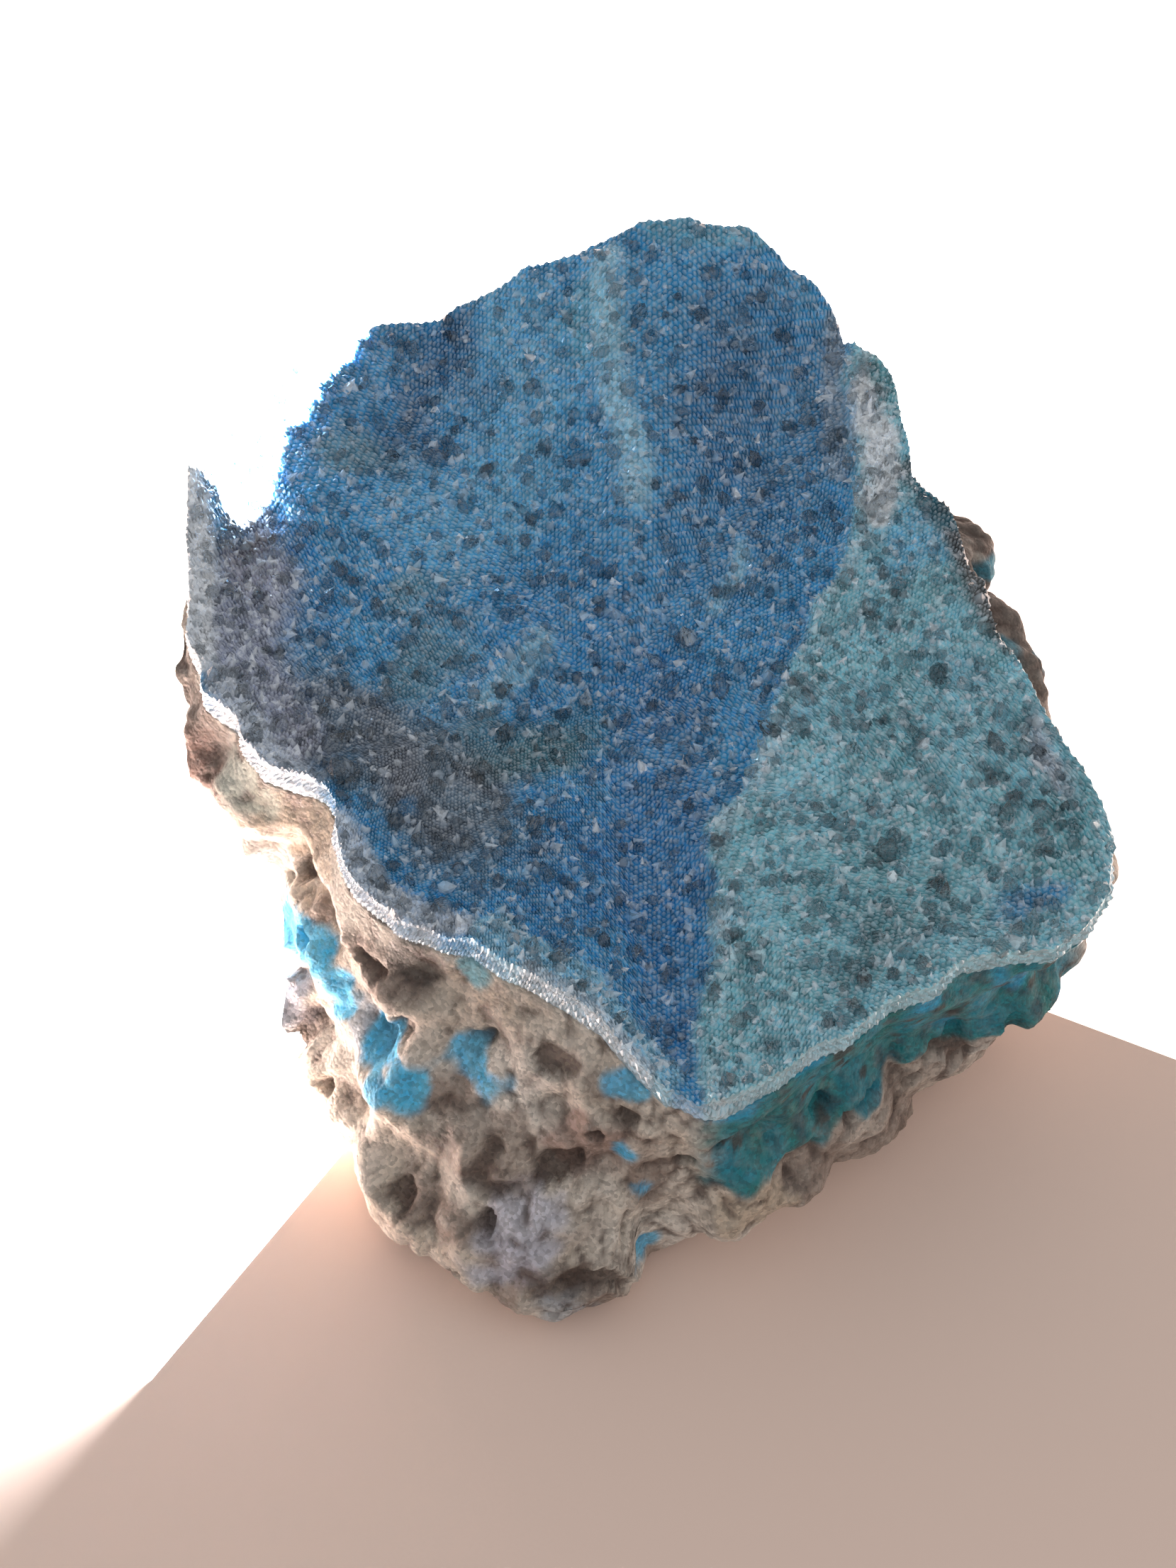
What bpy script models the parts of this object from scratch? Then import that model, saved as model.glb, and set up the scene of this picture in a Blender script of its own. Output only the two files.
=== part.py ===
"""Druzy chrysocolla hand specimen: a wedge of host rock that carries a thin druzy quartz crust.

The specimen lies on its broken back with the druse facing up. Dimensions are in millimetres and become
metres when a mesh is made. +X is right and +Y is away from the thick, rocky front. The origin is at the
middle of the specimen's outline, on the surface that it rests on.
"""

import bmesh
import bpy
import numpy as np
from mathutils import Matrix, Vector
from mathutils.geometry import delaunay_2d_cdt

MM = 0.001

# Resolution: points around the crust's edge, which are also the columns of the rock's wall, the pitch of the
# crystal faces, the pitch where crust and rock meet, and the wall's rows above and below its widest line.
BORDER_POINTS = 120
DRUSE_PITCH = 1.62
SEAM_PITCH = 4.5
UPPER_ROWS = 10
LOWER_ROWS = 6

# The point that every outline is seen from when it is turned into angles and radii, and the shift that puts
# the origin in the middle of the specimen's box.
MIDDLE = (0.0, 1.5)
ORIGIN_SHIFT = (-0.21, -0.8, 0.0)

# Outer edge of the crust, clockwise from the back left corner, with the height of its upper rim.
CRUST_EDGE = [
    (-33.2, 24.8, 31.0), (-29.0, 27.3, 31.0), (-25.0, 30.0, 30.5), (-19.0, 33.0, 30.0), (-13.5, 34.8, 30.0),
    (-8.5, 37.0, 30.5), (-6.0, 38.7, 31.0), (-1.3, 40.1, 31.0), (2.0, 41.8, 31.5), (7.2, 43.6, 31.5),
    (12.0, 42.1, 31.5), (15.0, 40.0, 31.0), (17.3, 37.4, 30.5), (19.2, 34.8, 30.0), (20.0, 31.8, 30.0),
    (23.0, 29.7, 29.5), (24.5, 25.0, 29.5), (25.2, 18.7, 29.5), (28.3, 14.0, 29.0), (30.2, 8.2, 29.0),
    (31.4, 5.1, 28.5), (34.0, 0.7, 28.0), (36.1, -4.1, 27.0), (38.6, -7.6, 26.5), (40.0, -12.7, 25.5),
    (39.5, -16.5, 25.5), (37.2, -20.1, 25.5), (35.2, -22.0, 26.0), (30.7, -22.8, 27.0), (27.3, -24.0, 27.5),
    (23.9, -26.0, 27.5), (17.1, -30.3, 27.0), (12.4, -32.7, 26.5), (9.0, -33.6, 26.0), (5.0, -33.2, 26.0),
    (2.3, -30.6, 27.0), (0.0, -28.2, 27.5), (-4.9, -25.3, 28.0), (-9.8, -22.0, 28.5), (-16.0, -20.6, 29.0),
    (-18.8, -17.5, 29.0), (-20.6, -14.4, 29.0), (-20.8, -10.6, 29.0), (-22.5, -8.3, 29.0), (-26.5, -7.2, 29.5),
    (-28.2, -3.4, 30.0), (-30.8, -1.0, 30.0), (-32.8, 4.0, 30.0), (-32.4, 9.0, 31.0), (-33.0, 16.0, 31.5),
]

# Widest line of the rock, with its height: low along the thick front, just under the crust at the ledge.
ROCK_BELLY = [
    (-35.0, 25.2, 22.0), (-31.0, 26.5, 18.0), (-24.0, 30.0, 16.0), (-16.0, 33.0, 15.0), (-7.0, 36.8, 14.0),
    (0.0, 40.3, 14.0), (7.0, 42.6, 14.0), (13.0, 40.0, 14.0), (19.0, 34.0, 15.0), (23.3, 29.0, 17.0),
    (26.0, 25.0, 20.0), (27.8, 22.3, 21.5), (29.3, 20.9, 22.0), (31.2, 17.8, 22.0), (32.3, 14.7, 22.0),
    (32.1, 12.1, 22.0), (34.3, 9.5, 21.8), (34.6, 6.8, 21.6), (35.3, 5.5, 21.4), (35.1, 3.9, 21.0),
    (34.6, 0.0, 20.0), (37.0, -5.0, 18.0), (39.2, -12.0, 17.0), (39.2, -16.7, 17.0), (37.9, -20.4, 17.0),
    (35.9, -21.2, 14.0), (32.5, -24.0, 11.5), (27.2, -25.6, 11.0), (22.4, -29.5, 10.0), (17.2, -32.9, 9.0),
    (13.4, -35.1, 9.0), (12.6, -36.3, 8.0), (10.8, -37.5, 7.5), (7.4, -37.4, 8.0), (4.2, -38.6, 8.0),
    (3.4, -40.8, 6.0), (1.6, -42.4, 5.0), (-0.6, -43.7, 4.5), (-3.2, -44.0, 4.0), (-5.5, -43.0, 4.0),
    (-10.0, -40.9, 4.0), (-13.8, -37.6, 4.0), (-16.4, -36.5, 4.0), (-19.9, -29.5, 4.0), (-24.0, -22.6, 5.0),
    (-27.7, -18.9, 5.0), (-30.7, -13.4, 6.0), (-32.3, -9.4, 7.0), (-34.7, -7.0, 8.0), (-35.7, -4.8, 9.0),
    (-38.0, -1.2, 11.0), (-39.2, 3.4, 15.0), (-39.5, 7.9, 18.0), (-38.0, 14.7, 20.0), (-38.2, 19.9, 22.0),
]

# Outline of the flat face that the rock rests on.
ROCK_FOOT = [
    (-28.0, 20.0), (-30.5, 12.0), (-32.0, 3.0), (-27.0, -6.0), (-24.0, -15.0), (-17.5, -25.5), (-13.0, -33.0),
    (-4.0, -38.0), (2.0, -36.5), (8.0, -32.5), (17.0, -26.5), (21.0, -18.0), (25.5, -8.0), (23.0, 5.0),
    (19.0, 16.0), (16.0, 26.0), (8.5, 33.5), (-3.0, 31.5), (-14.0, 28.5), (-22.0, 26.5),
]

# Thickness of the crust at its edge and under the basin, and how much thinner it is over the teal band.
EDGE_THICKNESS = 3.0
BASIN_THICKNESS = 4.5
TEAL_THINNING = 1.2
TEAL_BEARING = -0.785
TEAL_HALF_SWEEP = 1.2
LAYER_GAP = 0.3

# The druse is a shallow basin: height of its floor, and how steeply it climbs to the rim.
BASIN_FLOOR = 25.6
BASIN_POWER = 2.4
CENTRAL_VALLEY = ([(-1.6, 20.2), (0.7, 10.1), (3.5, -5.0), (5.6, -22.0), (7.0, -34.0)], -2.3, 6.0)

# Folds of the druse: a line to follow, height (negative for a furrow) and half width.
FOLDS = {
    "ridge between the basins": ([(0.6, 38.3), (0.1, 33.0), (1.1, 28.0), (2.5, 25.5), (2.3, 18.6)], 1.9, 2.2),
    "dark furrow": ([(-11.6, 36.4), (-14.4, 30.4), (-17.5, 23.0)], -1.0, 2.2),
    "light crest": ([(-5.4, 6.4), (-8.3, 2.4), (-10.5, -1.5)], 1.1, 1.6),
    "broken left rim": ([(-32.5, 22.0), (-32.5, 8.0)], 0.9, 1.3),
    "lower left rim": ([(-7.8, -21.5), (-3.7, -24.4), (0.6, -28.4), (4.4, -32.4)], 0.9, 2.0),
}

# Hills and hollows of the druse: place, half length, half width, turn in degrees, height.
HILLS = {
    "hollow behind the left rim": (-28.6, 16.0, 6.5, 2.3, 90.0, -2.4),
    "left basin": (-9.0, 27.0, 10.0, 6.0, 20.0, -1.2),
    "right basin": (13.0, 27.0, 9.0, 5.5, 110.0, -2.2),
    "smoky hump": (-16.5, -4.5, 6.0, 5.0, 0.0, 1.3),
    "dark hollow under the crest": (-4.0, -1.0, 5.0, 4.0, 60.0, -1.2),
}

# Inner edge of the raised pale layer at the right, from the back to the front, then around outside it.
LAYER_EDGE = [
    (21.0, 33.0), (19.9, 30.0), (20.3, 27.9), (20.6, 21.0), (20.7, 18.0), (19.7, 14.4), (19.1, 10.5),
    (17.1, 8.6), (16.4, 5.9), (13.5, 0.3), (12.8, -3.6), (11.3, -7.8), (8.5, -10.6), (7.6, -13.1),
    (9.0, -15.9), (8.7, -20.6), (8.9, -23.0), (7.5, -25.4), (6.9, -27.2), (7.4, -29.6), (8.2, -36.0),
    (60.0, -60.0), (60.0, 40.0),
]
LAYER_HEIGHT = 1.6
LAYER_SLOPE = 1.3
LAYER_FADE = 22.0

# Six-sided points that the druse is made of: mean height, its spread, and the shake of the lattice.
TIP_HEIGHT = 0.95
TIP_SPREAD = 0.5
LATTICE_SHAKE = 0.26

# Larger crystals fused to the crust: place, length, width, lean from upright and its heading, in degrees.
BIG_CRYSTALS = {
    "blade_left": (-18.4, -9.4, 5.6, 2.1, 66.0, -62.0),
    "blade_right": (-16.6, -12.6, 5.4, 1.9, 70.0, -60.0),
    "cluster_middle_a": (-2.8, 22.2, 2.8, 1.9, 25.0, 40.0),
    "cluster_middle_b": (-4.4, 21.6, 2.4, 1.7, 35.0, 190.0),
    "cluster_left": (-7.3, 19.3, 2.4, 1.7, 30.0, 100.0),
    "cluster_back_a": (4.7, 36.1, 2.8, 2.0, 28.0, 250.0),
    "cluster_back_b": (6.5, 37.3, 2.6, 1.8, 22.0, 60.0),
    "cluster_back_right": (12.5, 37.0, 2.6, 1.9, 30.0, -30.0),
    "cluster_basin": (9.3, 23.6, 2.8, 1.8, 20.0, 150.0),
    "valley_point": (-5.4, 5.9, 2.2, 1.6, 15.0, 200.0),
    "layer_edge_a": (21.4, 25.0, 2.4, 1.8, 40.0, 170.0),
    "layer_edge_b": (21.8, 21.0, 2.4, 1.9, 35.0, 200.0),
}
CRYSTAL_SIDES = 6
CRYSTAL_TIP = 0.4
CRYSTAL_ROOT = 1.4

# Pits and lumps of the rock: place, half width, how far the surface moves out (negative for a pit).
ROCK_MARKS = {
    "deep hole": (-33.0, 3.0, 20.0, 3.0, -3.2),
    "dark hole": (-35.0, -1.5, 16.0, 3.0, -2.8),
    "slit": (-32.0, -5.0, 16.5, 2.6, -2.4),
    "vug": (-14.0, -24.0, 24.0, 3.0, -3.0),
    "lower hole": (-12.0, -34.5, 13.0, 2.4, -2.0),
    "brown hollow": (0.5, -37.0, 14.5, 4.0, -2.2),
    "notch": (5.0, -38.5, 6.0, 2.4, -1.6),
    "front knob": (11.8, -37.5, 7.5, 2.6, 0.5),
    "shelf": (-1.0, -35.0, 20.5, 3.4, 1.3),
    "left shoulder": (-38.0, 12.0, 24.0, 4.0, 1.0),
    "back hollow": (-12.0, 34.0, 14.0, 5.0, -1.8),
    "back knob": (4.0, 42.0, 12.0, 5.0, 0.8),
    "right hollow": (33.0, -6.0, 9.0, 5.0, -1.6),
}
TUBE_RIDGE = [(-13.5, -27.5, 23.0), (-12.5, -31.0, 18.0), (-10.8, -34.5, 12.5)]
TUBE_WIDTH = 1.8
TUBE_HEIGHT = 1.6

# The smooth teal band lies a little back from the rest, right of TEAL_X, in front of TEAL_Y and between two
# heights, with soft ends.
TEAL_RECESS = 1.3
TEAL_X = 8.0
TEAL_Y = -14.0
TEAL_HEIGHTS = (14.0, 25.5)
TEAL_SOFT_ENDS = 5.0
TEAL_SOFT_LIMITS = 3.0

# Uneven surface of the rock: sizes of its lumps along X, Y and Z, and how far they stand out. The wall between
# them lies a little inside the belly, because the belly is drawn through the lumps.
ROCK_LUMPS = (
    ((12.0, 12.0, 9.0), 1.4),
    ((5.5, 5.5, 5.0), 1.4),
    ((14.0, 14.0, 3.2), 0.9),
    ((3.0, 3.0, 3.0), 1.0),
)
BELLY_INSET = 0.9
FADE_ROWS = 3
FOOT_FADE = 2.5
FOOT_RAGGEDNESS = 1.3
FOOT_LUMP = 6.0
LEAST_HEIGHT_SHARE = 0.5

# Broken edge of the crust: how far it strays, and the sizes of its bays and of the chips down its side.
EDGE_RAGGEDNESS = 0.5
EDGE_TURN_RADIUS = 12.0
EDGE_BAY = 0.9
EDGE_CHIP = 1.6
RIM_SAMPLES = 1440

# Reach of the lattice of crystal points, and how near the rim one may stand, in shares of the pitch.
LATTICE_REACH = 60.0
RIM_CLEARANCE = 0.6

ROCK_COLOR = (0.42, 0.37, 0.33)
ROCK_ROUGHNESS = 0.9
DRUSE_COLOR = (0.08, 0.42, 0.62)
DRUSE_ROUGHNESS = 0.25
SEED = 41


def lattice_value(cells, seed):
    """A repeatable number from -1 to 1 for each row of three whole numbers."""
    mixed = cells[..., 0] * 374761393 + cells[..., 1] * 668265263
    mixed = mixed + cells[..., 2] * 2246822519 + seed * 3266489917
    mixed = (mixed ^ (mixed >> 13)) & 0xFFFFFFFF
    mixed = (mixed * 1274126177) & 0xFFFFFFFF
    mixed = mixed ^ (mixed >> 16)
    return mixed / 0x7FFFFFFF - 1.0


def noise(points, size, seed):
    """Smooth value noise from -1 to 1 at points (N, 3), with lumps about as wide as size."""
    scaled = points / np.asarray(size)
    corner = np.floor(scaled).astype(np.int64)
    part = smoothstep(scaled - corner)
    total = np.zeros(len(points))
    for offset in np.ndindex(2, 2, 2):
        step = np.array(offset)
        weight = np.prod(np.where(step == 1, part, 1.0 - part), axis=1)
        total += weight * lattice_value(corner + step, seed)
    return total


def smoothstep(value):
    """A smooth climb from 0 to 1 as value goes from 0 to 1."""
    clipped = np.clip(value, 0.0, 1.0)
    return clipped * clipped * (3.0 - 2.0 * clipped)


def bearings(places):
    """Angle and distance of places (N, 2) seen from MIDDLE."""
    east = places[:, 0] - MIDDLE[0]
    north = places[:, 1] - MIDDLE[1]
    return np.arctan2(north, east), np.hypot(east, north)


def outline_at(outline, angles):
    """Radius about MIDDLE, and height if the outline has one, at each angle."""
    points = np.array(outline)
    angle, radius = bearings(points)
    order = np.argsort(angle)
    found = [np.interp(angles, angle[order], radius[order], period=2.0 * np.pi)]
    if points.shape[1] > 2:
        found.append(np.interp(angles, angle[order], points[order, 2], period=2.0 * np.pi))
    return found


def place_at(angles, reach):
    """Places at a distance from MIDDLE, in the direction of each angle."""
    return np.array(MIDDLE) + reach[:, None] * np.stack([np.cos(angles), np.sin(angles)], axis=1)


def edge_reach(angles):
    """Distance from MIDDLE to the crust's ragged edge at each angle."""
    around = EDGE_TURN_RADIUS * np.stack([np.cos(angles), np.sin(angles), np.zeros_like(angles)], axis=1)
    return outline_at(CRUST_EDGE, angles)[0] + EDGE_RAGGEDNESS * noise(around, EDGE_BAY, SEED)


def distance_to_line(points, line):
    """Distance from points (N, D) to a chain of straight stretches."""
    corners = np.array(line)
    nearest = np.full(len(points), np.inf)
    for start, end in zip(corners[:-1], corners[1:]):
        along = end - start
        share = np.clip((points - start) @ along / (along @ along), 0.0, 1.0)
        nearest = np.minimum(nearest, np.linalg.norm(points - start - share[:, None] * along, axis=1))
    return nearest


def inside_outline(points, outline):
    """True where a point (N, 2) lies inside a closed outline: it counts the edges crossed to the right."""
    corners = np.array(outline)
    inside = np.zeros(len(points), bool)
    for start, end in zip(corners, np.roll(corners, -1, axis=0)):
        spans = (start[1] > points[:, 1]) != (end[1] > points[:, 1])
        rise = end[1] - start[1]
        crossing = start[0] + (points[:, 1] - start[1]) * (end[0] - start[0]) / (rise if rise else 1.0)
        inside ^= spans & (points[:, 0] < crossing)
    return inside


def fold(places, line, height, half_width):
    """A rounded ridge along a line, or a furrow if its height is negative."""
    return height * np.exp(-((distance_to_line(places, line) / half_width) ** 2))


def hill(places, x, y, half_length, half_width, turn, height):
    """A rounded hill, or a hollow if its height is negative."""
    angle = np.radians(turn)
    east = places[:, 0] - x
    north = places[:, 1] - y
    along = east * np.cos(angle) + north * np.sin(angle)
    across = north * np.cos(angle) - east * np.sin(angle)
    return height * np.exp(-((along / half_length) ** 2) - (across / half_width) ** 2)


def pale_layer(places):
    """Height of the raised layer at the right: a step at its inner edge that thins out to the right."""
    edge = distance_to_line(places, LAYER_EDGE[:-2])
    depth = np.where(inside_outline(places, LAYER_EDGE), edge, -edge)
    return LAYER_HEIGHT * smoothstep(0.5 + depth / LAYER_SLOPE) * np.exp(-np.maximum(depth, 0.0) / LAYER_FADE)


def basin_height(places):
    """Height of the crust's broad form: a basin that climbs to the rim, with the central valley in it."""
    angle, radius = bearings(places)
    rim = outline_at(CRUST_EDGE, angle)[1]
    climb = np.minimum(radius / edge_reach(angle), 1.0) ** BASIN_POWER
    return BASIN_FLOOR + (rim - BASIN_FLOOR) * climb + fold(places, *CENTRAL_VALLEY)


def druse_height(places):
    """Height of the druse between its points: the basin with its folds, hills and raised layer."""
    height = basin_height(places) + pale_layer(places)
    for shape in FOLDS.values():
        height = height + fold(places, *shape)
    for shape in HILLS.values():
        height = height + hill(places, *shape)
    return height


def seam_height(places):
    """Height of the crust's underside: it hangs deepest under the basin and is thin over the teal band."""
    angle, radius = bearings(places)
    share = np.minimum(radius / edge_reach(angle), 1.0)
    edge = EDGE_THICKNESS - TEAL_THINNING * smoothstep(TEAL_HALF_SWEEP - np.abs(angle - TEAL_BEARING))
    return basin_height(places) - edge - (BASIN_THICKNESS - edge) * (1.0 - share**2)


def border_places():
    """Evenly spaced places around the crust's edge, anticlockwise."""
    angles = np.linspace(-np.pi, np.pi, RIM_SAMPLES)
    path = place_at(angles, edge_reach(angles))
    length = np.concatenate([[0.0], np.cumsum(np.linalg.norm(np.diff(path, axis=0), axis=1))])
    stops = np.linspace(0.0, length[-1], BORDER_POINTS, endpoint=False)
    return np.stack([np.interp(stops, length, path[:, 0]), np.interp(stops, length, path[:, 1])], axis=1)


def inner_places(pitch, seed):
    """Shaken points of a triangular lattice inside the crust's edge, and which of them are tips.

    The lattice is dealt into three classes so that no two neighbours share one. The first class are the
    tips, so each tip has six other points around it.
    """
    count = int(LATTICE_REACH / pitch)
    i, j = (axis.ravel() for axis in np.meshgrid(*2 * [np.arange(-count, count + 1)], indexing="ij"))
    places = pitch * np.stack([i + 0.5 * j, np.sqrt(0.75) * j], axis=1)
    for axis in range(2):
        places[:, axis] += LATTICE_SHAKE * pitch * lattice_value(np.stack([i, j, 0 * i + axis], axis=1), seed)
    angle, radius = bearings(places)
    kept = radius < edge_reach(angle) - RIM_CLEARANCE * pitch
    return places[kept], (i - j)[kept] % 3 == 0


def plan_of(inner):
    """The border and the inner places together, and triangles between them that face up."""
    places = np.concatenate([border_places(), inner])
    outline = [list(range(BORDER_POINTS))]
    triangles = delaunay_2d_cdt([Vector(place) for place in places], [], outline, 1, 1e-6)[2]
    return places, np.array(triangles)


def band_faces(lower, upper):
    """Faces of a closed band between two rings of the same length that run anticlockwise, facing out."""
    return np.stack([lower, np.roll(lower, -1), np.roll(upper, -1), upper], axis=1)


def in_metres(points):
    """Points given in millimetres, moved by ORIGIN_SHIFT and turned into metres."""
    return (np.asarray(points) + ORIGIN_SHIFT) * MM


def new_object(name, points, faces, material):
    """A mesh object with its place in its mesh, from points in millimetres."""
    mesh = bpy.data.meshes.new(name)
    mesh.from_pydata(in_metres(points).tolist(), [], [list(map(int, face)) for face in faces])
    mesh.materials.append(material)
    made = bpy.data.objects.new(name, mesh)
    bpy.context.scene.collection.objects.link(made)
    return made


def stone_material(name, color, roughness):
    """A plain Principled finish, with no metal in it."""
    material = bpy.data.materials.new(name)
    material.use_nodes = True
    shader = material.node_tree.nodes["Principled BSDF"]
    shader.inputs["Base Color"].default_value = (*color, 1.0)
    shader.inputs["Roughness"].default_value = roughness
    shader.inputs["Metallic"].default_value = 0.0
    return material


def crystal_mesh(place, length, width, lean, heading):
    """A six-sided quartz crystal with a pointed tip, from its root inside the crust, in metres."""
    tip = length * CRYSTAL_TIP
    mesh = bmesh.new()
    base = bmesh.ops.create_circle(mesh, cap_ends=True, radius=width / 2.0 * MM, segments=CRYSTAL_SIDES)
    bmesh.ops.translate(mesh, verts=base["verts"], vec=(0.0, 0.0, -CRYSTAL_ROOT * MM))
    top = bmesh.ops.extrude_face_region(mesh, geom=list(mesh.faces))
    ring = [item for item in top["geom"] if isinstance(item, bmesh.types.BMVert)]
    bmesh.ops.translate(mesh, verts=ring, vec=(0.0, 0.0, (CRYSTAL_ROOT + length - tip) * MM))
    cap = [item for item in top["geom"] if isinstance(item, bmesh.types.BMFace)]
    poked = bmesh.ops.poke(mesh, faces=cap)
    bmesh.ops.translate(mesh, verts=poked["verts"], vec=(0.0, 0.0, tip * MM))
    turn = Matrix.Rotation(np.radians(heading), 4, "Z") @ Matrix.Rotation(np.radians(lean), 4, "Y")
    bmesh.ops.transform(mesh, matrix=Matrix.Translation(in_metres(place)) @ turn, verts=mesh.verts)
    bmesh.ops.recalc_face_normals(mesh, faces=mesh.faces)
    data = bpy.data.meshes.new("crystal")
    mesh.to_mesh(data)
    mesh.free()
    return data


def fuse(carrier, mesh, name):
    """Joins a crystal to its carrier with a Boolean union."""
    guide = bpy.data.objects.new(name, mesh)
    bpy.context.scene.collection.objects.link(guide)
    guide.hide_render = True
    guide.display_type = "WIRE"
    union = carrier.modifiers.new(name, "BOOLEAN")
    union.operation = "UNION"
    union.object = guide


def build_crust(material):
    """The crust: the druse with its six-sided points, the broken edge, and the underside."""
    inner, tips = inner_places(DRUSE_PITCH, SEED + 1)
    places, triangles = plan_of(inner)
    height = druse_height(places)
    spread = noise(np.column_stack([inner, 0.0 * inner[:, 0]]), DRUSE_PITCH, SEED + 2)
    height[BORDER_POINTS:] += np.where(tips, TIP_HEIGHT + TIP_SPREAD * spread, 0.0)
    druse = np.column_stack([places, height])

    seam_places, seam_triangles = plan_of(inner_places(SEAM_PITCH, SEED + 3)[0])
    seam = np.column_stack([seam_places, seam_height(seam_places)])
    rim = druse[:BORDER_POINTS]
    middle = (rim + seam[:BORDER_POINTS]) / 2.0
    angle, radius = bearings(middle)
    middle[:, :2] = place_at(angle, radius + EDGE_RAGGEDNESS * noise(middle, EDGE_CHIP, SEED + 4))

    ring = np.arange(BORDER_POINTS)
    middle_start = len(druse)
    seam_start = middle_start + BORDER_POINTS
    faces = [
        *triangles,
        *band_faces(middle_start + ring, ring),
        *band_faces(seam_start + ring, middle_start + ring),
        *(seam_start + seam_triangles[:, ::-1]),
    ]
    crust = new_object("druzy_crust", np.concatenate([druse, middle, seam]), faces, material)
    for name, (x, y, length, width, lean, heading) in BIG_CRYSTALS.items():
        ground = druse_height(np.array([(x, y)]))[0]
        fuse(crust, crystal_mesh((x, y, ground), length, width, lean, heading), name)
    return crust


def wall_ring(edge, belly, foot, row):
    """One ring of the rock's wall: straight from the crust's edge to the belly, then rounded to the foot."""
    if row <= UPPER_ROWS:
        return edge + (belly - edge) * row / UPPER_ROWS
    turn = (row - UPPER_ROWS) / LOWER_ROWS * np.pi / 2.0
    ring = belly + (foot - belly) * (1.0 - np.cos(turn))
    ring[:, 2] = belly[:, 2] * (1.0 - np.sin(turn))
    return ring


def outward(wall):
    """Outward directions of the wall's grid (rows, columns, 3), whose columns run anticlockwise."""
    around = np.roll(wall, -1, axis=1) - np.roll(wall, 1, axis=1)
    normal = np.cross(np.gradient(wall, axis=0), around)
    return normal / np.maximum(np.linalg.norm(normal, axis=2, keepdims=True), 1e-9)


def rock_relief(points):
    """How far the rock stands out at points (N, 3): lumps, pits, the tube ridge and the teal recess."""
    relief = TUBE_HEIGHT * np.exp(-((distance_to_line(points, TUBE_RIDGE) / TUBE_WIDTH) ** 2))
    for index, (size, amount) in enumerate(ROCK_LUMPS):
        relief += amount * noise(points, size, SEED + 10 + index)
    for *place, half_width, amount in ROCK_MARKS.values():
        relief += amount * np.exp(-np.sum((points - place) ** 2, axis=1) / half_width**2)
    x, y, z = points.T
    low, high = TEAL_HEIGHTS
    right_front = smoothstep((x - TEAL_X) / TEAL_SOFT_ENDS) * smoothstep((TEAL_Y - y) / TEAL_SOFT_ENDS)
    band = smoothstep((z - low) / TEAL_SOFT_LIMITS) * smoothstep((high - z) / TEAL_SOFT_LIMITS)
    return relief - TEAL_RECESS * right_front * band


def build_rock(material):
    """The host rock: a cap that follows the crust's underside, a lofted wall and the flat foot."""
    places, triangles = plan_of(inner_places(SEAM_PITCH, SEED + 3)[0])
    cap = np.column_stack([places, seam_height(places) - LAYER_GAP])
    edge = cap[:BORDER_POINTS]
    angle = bearings(edge)[0]
    belly_reach, belly_height = outline_at(ROCK_BELLY, angle)
    foot_reach = outline_at(ROCK_FOOT, angle)[0] + FOOT_RAGGEDNESS * noise(edge, FOOT_LUMP, SEED + 5)
    belly = np.column_stack([place_at(angle, belly_reach - BELLY_INSET), belly_height])
    foot = np.column_stack([place_at(angle, foot_reach), np.zeros(BORDER_POINTS)])

    rows = UPPER_ROWS + LOWER_ROWS
    smooth = np.stack([wall_ring(edge, belly, foot, row) for row in range(rows + 1)])
    relief = rock_relief(smooth.reshape(-1, 3)).reshape(rows + 1, BORDER_POINTS, 1)
    fade = smoothstep(np.arange(rows + 1) / FADE_ROWS)[:, None, None] * smoothstep(smooth[:, :, 2:] / FOOT_FADE)
    wall = (smooth + relief * fade * outward(smooth))[1:]
    wall[:, :, 2] = np.maximum(wall[:, :, 2], LEAST_HEIGHT_SHARE * smooth[1:, :, 2])

    ring = np.arange(BORDER_POINTS)
    rings = [ring] + [len(cap) + row * BORDER_POINTS + ring for row in range(rows)]
    hub = len(cap) + rows * BORDER_POINTS
    faces = list(triangles)
    for upper, lower in zip(rings[:-1], rings[1:]):
        faces += list(band_faces(lower, upper))
    faces += list(np.stack([np.roll(rings[-1], -1), rings[-1], np.full(BORDER_POINTS, hub)], axis=1))
    points = np.concatenate([cap, wall.reshape(-1, 3), [(*MIDDLE, 0.0)]])
    return new_object("matrix_rock", points, faces, material)


def main():
    """Clears the scene and builds the rock and the crust."""
    for old in list(bpy.data.objects):
        bpy.data.objects.remove(old)
    build_rock(stone_material("host_rock", ROCK_COLOR, ROCK_ROUGHNESS))
    build_crust(stone_material("druse", DRUSE_COLOR, DRUSE_ROUGHNESS))


main()
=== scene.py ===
"""Looks of a druzy chrysocolla hand specimen: the glittering crust of fine quartz points over blue
chrysocolla, and the crumbly host rock with turquoise in its cracks.

Sizes and places are in millimetres in the specimen's own frame, with +X to the right, +Y away from the
thick rocky front and +Z up. They are moved by ORIGIN_SHIFT and become metres when a mesh is made.
"""

import logging
from dataclasses import dataclass, field
from enum import Enum

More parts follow.
